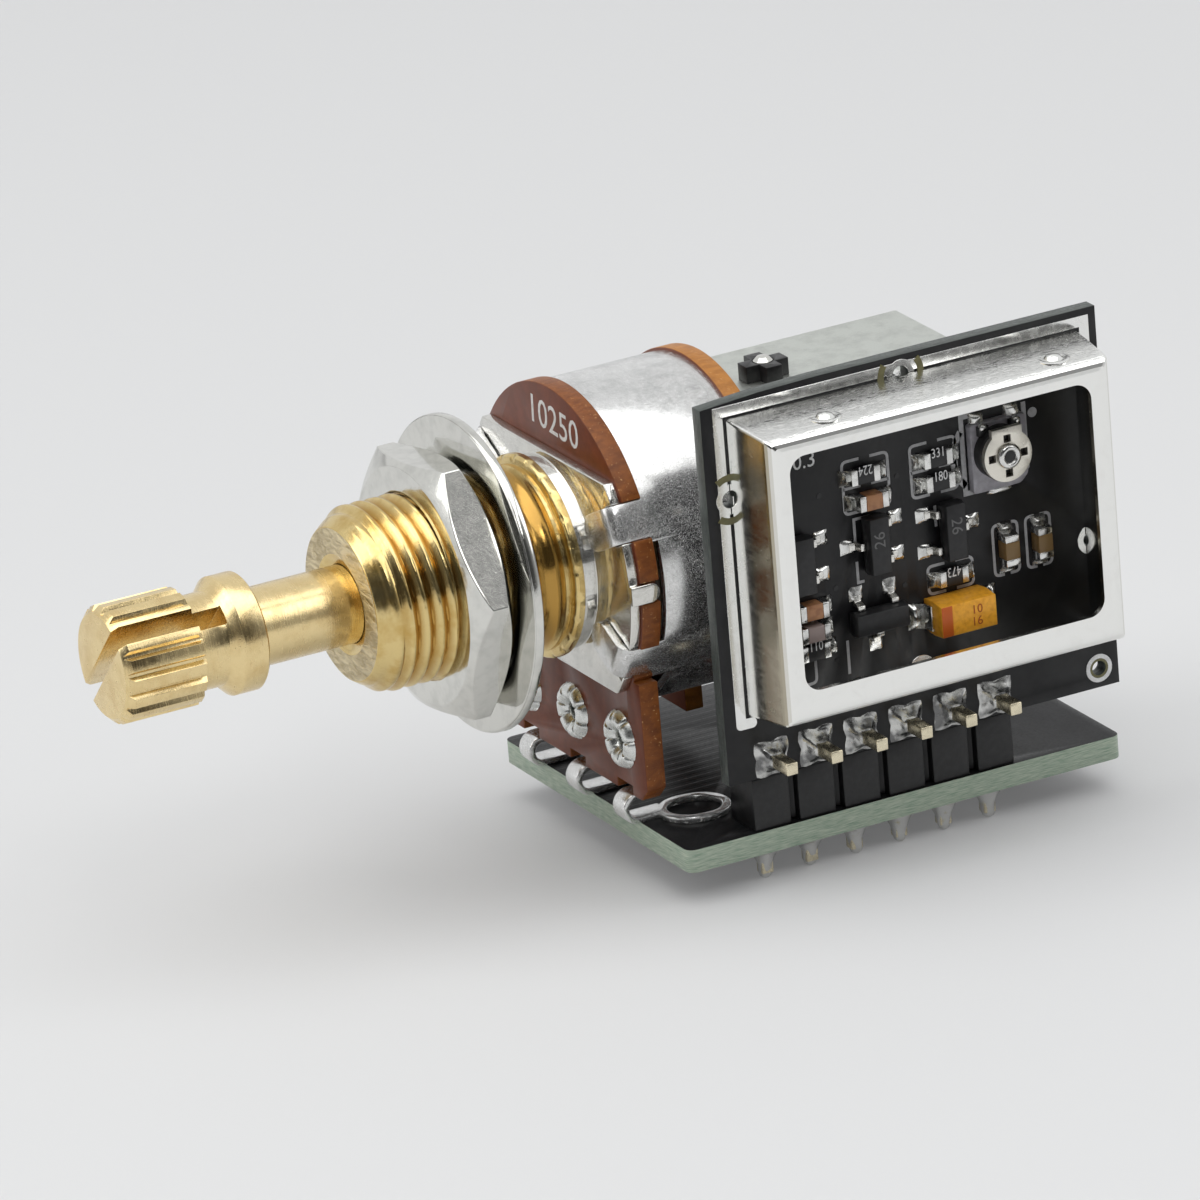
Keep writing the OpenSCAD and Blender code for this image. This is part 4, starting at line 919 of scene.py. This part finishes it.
class POTENTIOMETER_OT_rivets(bpy.types.Operator):
    """Models the rolled eyelets that hold the lugs, each split into petals"""

    bl_idname = "potentiometer.rivets"
    bl_label = "Lug rivets"

    petals = 8

    def execute(self, context):
        x_front = low("front_wafer").x
        depth = high("lug_rivets").x - x_front
        roll = [(-0.42 * math.sin(math.pi * k / 9) ** 0.7, 0.52 + 0.98 * k / 9) for k in range(10)]
        profile = [(depth, 0.5), (0.1, 0.5), *roll, (0.01, 0.76), (depth - 0.32, 0.76), (depth - 0.3, 1.3),
                   (depth - 0.08, 1.22), (depth, 1.0)]

        def petal(angle, along, radius):
            """Creases between the petals draw the roll in."""
            crease = max(0.0, 1 - (1 - saw(angle / (2 * math.pi) * self.petals)) * 5)
            if along >= 0.05 or radius < 0.5:
                return along, radius
            wobble = 0.04 * lumpy((*circle(angle, radius), 0), 1.6, 5)
            return along * (1 - 0.35 * crease) + wobble, radius * (1 - 0.07 * crease * (radius > 1.2)) + wobble * 0.5

        shape = bmesh.new()
        lathe(shape, profile, 96, "X", petal)
        boxes = islands("lug_rivets")
        places = [(x_front, (a.y + b.y) / 2, (a.z + b.z) / 2) for a, b in boxes]
        repeat("rolled_rivets", shape, places, NODE_SLOT["lug_rivets"], "dull_rivet", (180, 0, 0), 0.02, 4,
               ("lug_rivets",), 60)
        return {"FINISHED"}


class POTENTIOMETER_OT_shield_marks(bpy.types.Operator):
    """Presses the two round dimples with their halos into the shield's top"""

    bl_idname = "potentiometer.shield_marks"
    bl_label = "Shield marks"

    def execute(self, context):
        profile = [(-0.2, 0.0), (-0.2, 0.84), (0.0, 0.84), (0.035, 0.74), (0.035, 0.66), (0.0, 0.56), (0.01, 0.47),
                   (0.14, 0.37), (0.2, 0.22), (0.225, 0.0)]
        shape = bmesh.new()
        lathe(shape, profile, 48, "Z", lambda angle, along, radius: (along, max(radius, 1e-3)))
        back = 1.45
        places = [(SHIELD_MID.x + across, low("shield_frame").y + back, self.top(SHIELD_MID.x + across, back))
                  for across in (-5.65, 7.2)]
        repeat("pressed_domes", shape, places, "shield_silver", "shield_silver", (0, 0, 0), 0.03, 2,
               (), 50)
        return {"FINISHED"}

    def top(self, x, back):
        """Height of the shield's top wall at a place, read from the node."""
        node = frame["nodes"]["shield_frame"]
        start = Vector((x, low("shield_frame").y + back, high("shield_frame").z + 5)) * MM
        hit, place, _, _ = node.ray_cast(start + Vector((0.9 * MM, 0, 0)), Vector((0, 0, -1)))
        if not hit:
            raise RuntimeError("The shield's top wall wasn't found")
        return place.z / MM - 0.01


class POTENTIOMETER_OT_trimmer(bpy.types.Operator):
    """Models the trimmer's plate, drum, hub and solder"""

    bl_idname = "potentiometer.trimmer"
    bl_label = "Trimmer"

    def execute(self, context):
        centre = centre_of("trimmer_base")
        face = Face((centre.x, Y_BOARD, centre.z))
        height = Y_BOARD - low("trimmer_base").y
        shape = bmesh.new()
        outline = round_corners([(-1.5, 1.6), (-1.5, -2.0), (1.2, -2.0), (1.65, -1.55), (1.65, 1.6)], 0.18)
        self.prism(shape, face, outline, 0.42)
        plate = from_bmesh("trimmer_plate", shape, "lilac_plate", sharp=40)
        settle(plate, HOUSING, NODE_SLOT["trimmer_base"])
        shape = bmesh.new()
        self.prism(shape, face, [Vector(circle(angle, 1.38)) for angle in turns(64)], height - 0.02)
        for u in (-0.85, 0.95):
            ear = ((u - 0.3, 1.0), (u + 0.3, 1.0), (u + 0.3, 1.5), (u - 0.3, 1.5))
            self.prism(shape, face, [Vector(p) for p in ear], height * 0.62)
        drum = from_bmesh("trimmer_drum", shape, "trimmer_ceramic", sharp=40)
        settle(drum, HOUSING, NODE_SLOT["trimmer_base"], "trimmer_base")
        shape = bmesh.new()
        for seed, (u, v, half_u, half_v) in enumerate(((-0.95, 1.72, 0.42, 0.42), (1.05, 1.72, 0.42, 0.42),
                                                       (0.15, -2.12, 0.72, 0.18))):
            mound(shape, face, (u, v), half_u, half_v, 0.34, seed + 21)
        for u, v in ((-0.9, 1.45), (1.0, 1.42)):
            ball = bmesh.ops.create_icosphere(shape, subdivisions=3, radius=0.22)
            bmesh.ops.translate(shape, verts=ball["verts"], vec=face.point(u, v, 0.6))
        solder = from_bmesh("trimmer_solder", shape, "solder", sharp=60)
        settle(solder, HOUSING, NODE_SLOT["trimmer_terminals"], "trimmer_terminals")
        self.hub()
        return {"FINISHED"}

    def hub(self):
        """Bright rolled hub with a black disc of painted shade in its hole, which turns with the disc."""
        centre = centre_of("trimmer_base")
        y_face = low("trimmer_rotor").y
        shape = bmesh.new()
        lathe(shape, [(0.1, 0.66), (-0.02, 0.62), (-0.1, 0.5), (-0.1, 0.4), (-0.02, 0.3), (0.1, 0.29)], 48, "Y")
        bmesh.ops.translate(shape, verts=shape.verts, vec=(centre.x, y_face, centre.z))
        rim = from_bmesh("trimmer_hub", shape, "solder", sharp=60)
        settle(rim, NODE_BODY["trimmer_rotor"], NODE_SLOT["trimmer_rotor"])
        # Painted shade: a black disc in the hub's hole stands in for the shadow inside it.
        shape = bmesh.new()
        face = Face((centre.x, y_face + 0.02, centre.z))
        sector(shape, face, (0, 0), 0.0, 0.3, 0.03)
        hole = finish_shape("trimmer_hole", shape, "black_plastic", "black_plastic")
        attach(hole, NODE_BODY["trimmer_rotor"])

    def prism(self, shape, face, outline, height):
        """Straight block on a face with a slightly rounded top edge."""
        middle = sum(outline, Vector((0, 0))) / len(outline)
        rows = []
        for inset, rise in ((0.0, -0.01), (0.0, height - 0.06), (0.02, height - 0.02), (0.06, height)):
            rows.append([shape.verts.new(face.point(*(p + (middle - p).normalized() * inset), rise))
                         for p in outline])
        grid_faces(shape, rows)
        shape.faces.new(rows[0])
        shape.faces.new(rows[-1])


class POTENTIOMETER_OT_chip_solder(bpy.types.Operator):
    """Adds the sloping fillets beside the chips and the pads under the transistors' leads"""

    bl_idname = "potentiometer.chip_solder"
    bl_label = "Chip solder"

    def execute(self, context):
        shape = bmesh.new()
        seed = 40
        # Nodes of the ends and the bodies, then how far the solder reaches out, in and sideways, and its height
        for ends, bodies, reach, inner, spread, rise in (
                ("resistor_solder", "chip_resistors", 0.24, 0.06, 0.02, 0.3),
                ("capacitor_solder", "chip_capacitors", 0.24, 0.06, 0.02, 0.3),
                ("transistor_leads", "transistors", 0.42, 0.35, 0.17, 0.13),
                ("tantalum_ends", "tantalum_capacitor", 0.34, 0.06, 0.02, 0.3)):
            middles = [(a + b) / 2 for a, b in islands(bodies)]
            for first, last in islands(ends):
                seed += 1
                here = (first + last) / 2
                body = min(middles, key=lambda m: (m - here).length)
                way = here - body
                along = 0 if abs(way.x) > abs(way.z) else 2
                sign = 1 if way[along] > 0 else -1
                across = 2 - along
                half_across = (last[across] - first[across]) / 2
                edge = last[along] if sign > 0 else first[along]
                centre = edge + sign * (reach - inner) / 2
                place, halves = (centre, here.z), ((reach + inner) / 2, half_across + spread)
                lean = (-0.7 * sign, 0)
                if along == 2:
                    place, halves, lean = (here.x, centre), halves[::-1], lean[::-1]
                mound(shape, BOARD_FACE, place, *halves, rise, seed, lean=lean)
        settle(from_bmesh("chip_fillets", shape, "solder", sharp=60), HOUSING, "solder")
        return {"FINISHED"}


class POTENTIOMETER_OT_print(bpy.types.Operator):
    """Prints the grey outlines and the plain figures on the board, the chips and the wafer"""

    bl_idname = "potentiometer.print"
    bl_label = "Print"

    def execute(self, context):
        height = context.scene.potentiometer_sizes.print_height
        self.print_boxes(height)
        self.print_figures(height)
        self.print_trimmer_outline(height)
        return {"FINISHED"}

    def print_boxes(self, height):
        """Rounded boxes round the chips, each open where the photo shows a gap."""
        shape = bmesh.new()
        width = 0.15
        boxes = ((12.29, 14.85, 2.30, 5.03), (16.11, 18.68, 2.23, 4.95), (16.65, 19.18, -2.95, -1.50),
                 (20.42, 21.83, -2.91, -0.26), (22.30, 23.68, -2.93, -0.25), (8.2, 10.05, -5.95, -1.75))
        for x0, x1, z0, z1 in boxes:
            middle = (x0 + x1) / 2
            gap = 0.12 * (x1 - x0)
            corners = round_corners(((x0, z1), (x0, z0), (x1, z0), (x1, z1)), 0.28)
            left = [p for p in corners if p.x < middle]
            right = [p for p in corners if p.x > middle]
            ribbon(shape, BOARD_FACE, [(middle - gap, z1), *left, (middle - gap, z0)], width, height)
            ribbon(shape, BOARD_FACE, [(middle + gap, z0), *right, (middle + gap, z1)], width, height)
        for x0, x1, z0 in ((12.29, 14.85, 3.62), (16.11, 18.68, 3.56)):
            middle = (x0 + x1) / 2
            ribbon(shape, BOARD_FACE, [(x0, z0), (middle - 0.3, z0)], width, height)
            ribbon(shape, BOARD_FACE, [(middle + 0.3, z0), (x1, z0)], width, height)
        # Brackets beside the transistors
        for x0, z0, dx, dz in ((12.75, 1.95, 0.9, -1.2), (12.75, -1.35, 0.35, 1.1), (17.3, 1.6, 0.0, -1.1),
                               (11.9, -4.2, 0.0, -1.75), (13.2, -3.35, 0.9, 0.0)):
            ribbon(shape, BOARD_FACE, [(x0, z0 + dz), (x0, z0), (x0 + dx, z0)] if dx and dz else
                   [(x0, z0), (x0 + dx, z0 + dz)], width, height)
        finish_shape("print_boxes", shape, "board", "grey_print")

    def print_figures(self, height):
        """Plain figures: white on the wafer and the chips, dim on the transistors, red-brown on the tantalum."""
        wafer = Face((low("front_wafer").x, 0, 0), (0, -1, 0))
        chip, body = Face((0, Y_BOARD - 0.45, 0)), Face((0, Y_BOARD - 1.0, 0))
        bead, middle = Face((0, low("tantalum_capacitor").y, 0)), centre_of("tantalum_capacitor")
        on_chips = [(chip, text, (x, z), 0.5, height, turn, 0.75) for text, x, z, turn in (
            ("224", 13.37, 4.54, 180), ("331", 17.47, 4.45, 0), ("180", 17.52, 3.2, 0), ("473", 17.89, -1.87, 180),
            ("110", 9.92, -3.9, 0))]
        for name, slot, finish, rows in (
                ("wafer_figures", "phenolic", "white_print", [(wafer, "10250", (0.35, 6.72), 1.5, height, -3)]),
                ("chip_figures", "chip_black", "white_print",
                 [*on_chips, (BOARD_FACE, "0.3", (10.25, 5.6), 0.8, height, 0, 0.95)]),
                ("transistor_figures", "chip_black", "dim_print",
                 [(body, "26", (x, z), 0.62, height / 2, turn) for x, z, turn in ((13.62, 0.95, 90),
                                                                                  (17.92, 0.65, 270))]),
                ("tantalum_figures", "tantalum_orange", "band_print",
                 [(bead, "10", (middle.x + 0.45, middle.z + 0.28), 0.46, height),
                  (bead, "16", (middle.x + 0.42, middle.z - 0.34), 0.46, height)])):
            shape = bmesh.new()
            for row in rows:
                figures(shape, *row)
            finish_shape(name, shape, slot, finish)

    def print_trimmer_outline(self, height):
        """Broad print round the trimmer and the dot beside it."""
        shape = bmesh.new()
        mid = centre_of("trimmer_base")
        corners = ((-1.0, 2.0), (-1.75, 2.0), (-1.75, -2.0), (1.3, -2.0), (1.8, -1.4), (1.8, 2.0))
        ribbon(shape, BOARD_FACE, [(mid.x + u, mid.z + v) for u, v in corners], 0.26, height)
        sector(shape, BOARD_FACE, (mid.x - 0.2, mid.z - 0.1), 1.95, 2.3, height, 140, 225)
        sector(shape, BOARD_FACE, (23.12, 5.12), 0.0, 0.26, height)
        finish_shape("trimmer_print", shape, "board", "grey_print")


class POTENTIOMETER_OT_board_holes(bpy.types.Operator):
    """Adds black discs of painted shade for the small plated holes, the bare arcs beside the anchors and the corner's
    ring
    """

    bl_idname = "potentiometer.board_holes"
    bl_label = "Board holes"

    def execute(self, context):
        # Painted shade: each small plated hole is a raised black disc that stands in for the dark inside the hole
        places = ((10.94, 3.63), (15.33, 3.62), (11.49, -1.33), (15.33, -2.11), (11.24, -5.07), (20.1, -4.2))
        holes = [(place, 0.0, 0.13, 0.02) for place in places]
        # Bare laminate beside each anchor
        anchors = ((SHIELD_MID.x - 0.08, high("shield_frame").z, 0), (low("shield_frame").x, SHIELD_MID.z + 3.61, 90))
        arcs = [((x, z), 0.95, 1.3, 0.055, turn + side - 36, turn + side + 36) for x, z, turn in anchors
                for side in (0, 180)]
        corner = (high("vertical_board").x - 1.12, low("vertical_board").z + 1.02)
        for name, slot, finish, sectors in (("plated_holes", "board", "black_plastic", holes),
                                            ("bare_arcs", "board", "bare_laminate", arcs),
                                            ("corner_ring", "solder", "white_print", [(corner, 0.52, 0.74, 0.03)]),
                                            ("corner_rim", "board", "bare_laminate", [(corner, 0.385, 0.52, 0.02)])):
            shape = bmesh.new()
            for one in sectors:
                sector(shape, BOARD_FACE, *one)
            finish_shape(name, shape, slot, finish)
        return {"FINISHED"}


class POTENTIOMETER_OT_solder(bpy.types.Operator):
    """Models the drawn-up solder on the header's pads and the cones under the board"""

    bl_idname = "potentiometer.solder"
    bl_label = "Solder"

    def execute(self, context):
        self.pads()
        self.cones()
        return {"FINISHED"}

    def pads(self):
        """Square tents of solder that climb each pin, with their corners pulled out."""
        shape = bmesh.new()
        z_pin = high("header_pins").z - PIN_HALF
        rings, count = 9, 32
        for index in range(PIN_COUNT):
            x_mid = X_FIRST_PIN + PIN_PITCH * index
            rows = []
            for k in range(rings + 1):
                share = k / rings
                row = []
                for angle in turns(count):
                    u, v = circle(angle)
                    corner = abs(math.sin(2 * angle)) ** 1.5
                    pad = 0.86 * (1 + 0.26 * corner) / max(abs(u), abs(v)) ** 0.55
                    reach = pad * (1 - share) + 0.38 * share
                    rise = 0.62 * share ** 2.1 + 0.07 * math.sqrt(share)
                    rise += 0.09 * lumpy((u * 1.2, v * 1.2, share * 2), 1.3, index + 2) * math.sin(math.pi * share)
                    reach *= 1 + 0.10 * lumpy((u, v, 0), 1.7, index + 9) * (1 - share)
                    place = BOARD_FACE.point(x_mid + reach * u, z_pin - 0.02 + 0.98 * reach * v, rise)
                    row.append(shape.verts.new(place))
                rows.append(row)
            grid_faces(shape, rows)
            shape.faces.new(rows[0])
            shape.faces.new(rows[-1])
        piece = from_bmesh("pad_solder", shape, "pad_solder", sharp=70)
        settle(piece, HOUSING, "solder", "header_solder")

    def cones(self):
        """Funnels of solder round the tails."""
        top = low("lower_board").z
        places = [(X_FIRST_PIN + PIN_PITCH * i, centre_of("header_block").y + 0.02) for i in range(PIN_COUNT)]
        terminal = centre_of("switch_terminals")
        half = (high("switch_terminals") - low("switch_terminals")) / 2
        places += [(terminal.x + i * (half.x - 0.8), terminal.y + s * (half.y - 0.7)) for i in (-1, 0, 1)
                   for s in (-1, 1)]
        length = top - Z_FLOOR
        profile = [(0.05, 0.0), (0.05, 1.02)]
        for share in (0, 0.04, 0.1, 0.18, 0.28, 0.4, 0.55, 0.7, 0.83, 0.93, 0.98, 1.0):
            radius = 0.33 + 0.72 * (1 - share) ** 2.7
            profile.append((-share * length,
                            radius * math.sqrt(max(0.02, 1 - max(0.0, (share - 0.8) / 0.2) ** 2.5))))
        profile.append((-length, 0.0))

        def lump(angle, along, radius):
            """Uneven flow of the solder round the tail."""
            flow = lumpy((*circle(angle), along * 2), 1.2, 4)
            return along, max(1e-3, radius * (1 + 0.16 * flow))

        shape = bmesh.new()
        lathe(shape, profile, 24, "Z", lump)
        repeat("tail_cones", shape, [(x, y, top) for x, y in places], "solder", "dull_solder", (2, 2, 180),
               0.0, 7, ("tail_solder",), 70)


class POTENTIOMETER_OT_washer(bpy.types.Operator):
    """Models the thin washer"""

    bl_idname = "potentiometer.washer"
    bl_label = "Washer"

    def execute(self, context):
        dress_copy("washer", 0.08, 2, 40)
        return {"FINISHED"}


class POTENTIOMETER_OT_stage(bpy.types.Operator):
    """Lays the floor and sets the lights, the sky and the camera"""

    bl_idname = "potentiometer.stage"
    bl_label = "Stage"

    def execute(self, context):
        scene = context.scene
        self.lay_floor(scene)
        self.set_sky(scene)
        self.set_lights(scene)
        self.set_camera(scene)
        scene.view_settings.view_transform = "Standard"
        return {"FINISHED"}

    def lay_floor(self, scene):
        """Pale floor under the solder tails."""
        mesh = bpy.data.meshes.new("floor")
        corners = ((-1.5, -1.5), (1.5, -1.5), (1.5, 1.5), (-1.5, 1.5))
        mesh.from_pydata([(x, y, Z_FLOOR * MM) for x, y in corners], [], [(0, 1, 2, 3)])
        colour = tuple(scene.potentiometer_colours.floor)
        made = Finish("floor_paper", colour, 0.0, 0.75)
        glow = made.add("ShaderNodeEmission", Color=(*colour, 1))
        path = made.add("ShaderNodeLightPath").outputs
        seen = made.maths("MULTIPLY", made.maths("MAXIMUM", path["Is Camera Ray"], path["Is Glossy Ray"]), FLOOR_GLOW)
        made.add("ShaderNodeMixShader", i0=seen, i1=made.shader.outputs[0], i2=glow.outputs[0])
        made.tree.links.new(made.tree.nodes["Mix Shader"].outputs[0],
                            made.tree.nodes["Material Output"].inputs["Surface"])
        floor = new_object("floor", mesh, made.material)

    def set_sky(self, scene):
        """Pale tent of light that is open, and so dark, around the camera."""
        world = bpy.data.worlds.new("studio_tent")
        scene.world = world
        world.use_nodes = True
        tree = world.node_tree
        background = tree.nodes["Background"]
        way = tree.nodes.new("ShaderNodeTexCoord").outputs["Generated"]
        toward = tree.nodes.new("ShaderNodeVectorMath")
        toward.operation = "DOT_PRODUCT"
        toward.inputs[1].default_value = (-0.38, -0.91, 0.15)
        tree.links.new(way, toward.inputs[0])
        shade = tree.nodes.new("ShaderNodeValToRGB")
        stops = ((0.12, (0.62, 0.625, 0.63, 1)), (0.76, (0.05, 0.05, 0.05, 1)))
        for stop, (position, colour) in zip(shade.color_ramp.elements, stops):
            stop.position, stop.color = position, colour
        tree.links.new(toward.outputs["Value"], shade.inputs[0])
        tree.links.new(shade.outputs[0], background.inputs["Color"])
        path = tree.nodes.new("ShaderNodeLightPath")
        strength = tree.nodes.new("ShaderNodeMapRange")
        strength.inputs["To Min"].default_value = 0.8
        strength.inputs["To Max"].default_value = 1.25
        tree.links.new(path.outputs["Is Glossy Ray"], strength.inputs["Value"])
        tree.links.new(strength.outputs[0], background.inputs["Strength"])

    def set_lights(self, scene):
        """Soft boxes: a large one overhead, and small ones in front, at the left rear and at the right."""
        for box in (("top_box", (-0.05, -0.06, 0.50), 0.80, 0.60, 2.35),
                    ("front_box", (-0.12, -0.42, 0.42), 0.16, 0.12, 0.30),
                    ("left_box", (-0.42, 0.12, 0.26), 0.30, 0.30, 0.55),
                    ("right_box", (0.38, -0.28, 0.30), 0.22, 0.30, 0.35)):
            self.soft_box(scene, *box)

    def soft_box(self, scene, name, place, width, height, power):
        """One area lamp, in metres and watts, that points at the frame's origin."""
        lamp = bpy.data.lights.new(name, "AREA")
        lamp.shape = "RECTANGLE"
        lamp.size = width
        lamp.size_y = height
        lamp.energy = power
        box = bpy.data.objects.new(name, lamp)
        scene.collection.objects.link(box)
        box.location = place
        box.rotation_euler = (-Vector(place)).to_track_quat("-Z", "Y").to_euler()

    def set_camera(self, scene):
        """Camera at the photograph's place, in millimetres from the bush's shoulder."""
        data = bpy.data.cameras.new("camera")
        data.lens = scene.potentiometer_sizes.camera_lens
        data.sensor_width = 36
        data.clip_start = 0.01
        data.clip_end = 10
        camera = bpy.data.objects.new("camera", data)
        scene.collection.objects.link(camera)
        azimuth, elevation, roll = (math.radians(a) for a in (-26.423, 20.458, -4.753))
        back = Vector((math.sin(azimuth) * math.cos(elevation), -math.cos(azimuth) * math.cos(elevation),
                       math.sin(elevation)))
        level = Vector((math.cos(azimuth), math.sin(azimuth), 0))
        upright = back.cross(level)
        right = level * math.cos(roll) + upright * math.sin(roll)
        up = back.cross(right)
        camera.matrix_world = Matrix((right, up, back)).transposed().to_4x4()
        camera.location = Vector((-239.64, -490.00, 200.89)) * MM
        scene.camera = camera


PIECES = (
    POTENTIOMETER_OT_finishes,
    POTENTIOMETER_OT_stage,
    POTENTIOMETER_OT_shaft,
    POTENTIOMETER_OT_bush,
    POTENTIOMETER_OT_washer,
    POTENTIOMETER_OT_dressed_nodes,
    POTENTIOMETER_OT_rivets,
    POTENTIOMETER_OT_shield_marks,
    POTENTIOMETER_OT_trimmer,
    POTENTIOMETER_OT_chip_solder,
    POTENTIOMETER_OT_solder,
    POTENTIOMETER_OT_board_holes,
    POTENTIOMETER_OT_print,
)


class POTENTIOMETER_PT_panel(bpy.types.Panel):
    """Lists the pieces that can be made"""

    bl_label = "Potentiometer"
    bl_space_type = "VIEW_3D"
    bl_region_type = "UI"
    bl_category = "Potentiometer"

    def draw(self, context):
        for piece in PIECES:
            self.layout.operator(piece.bl_idname)


CLASSES = (PotentiometerSizes, PotentiometerColours, *PIECES, POTENTIOMETER_PT_panel)


def register():
    """Registers the classes and puts their properties on the scene."""
    for made in CLASSES:
        bpy.utils.register_class(made)
    bpy.types.Scene.potentiometer_sizes = bpy.props.PointerProperty(type=PotentiometerSizes)
    bpy.types.Scene.potentiometer_colours = bpy.props.PointerProperty(type=PotentiometerColours)


def unregister():
    """Takes the properties and the classes away again."""
    del bpy.types.Scene.potentiometer_colours
    del bpy.types.Scene.potentiometer_sizes
    for made in reversed(CLASSES):
        bpy.utils.unregister_class(made)


def main():
    """Makes every piece in order."""
    register()
    for piece in PIECES:
        group, name = piece.bl_idname.split(".")
        getattr(getattr(bpy.ops, group), name)()


if __name__ == "__main__":
    main()
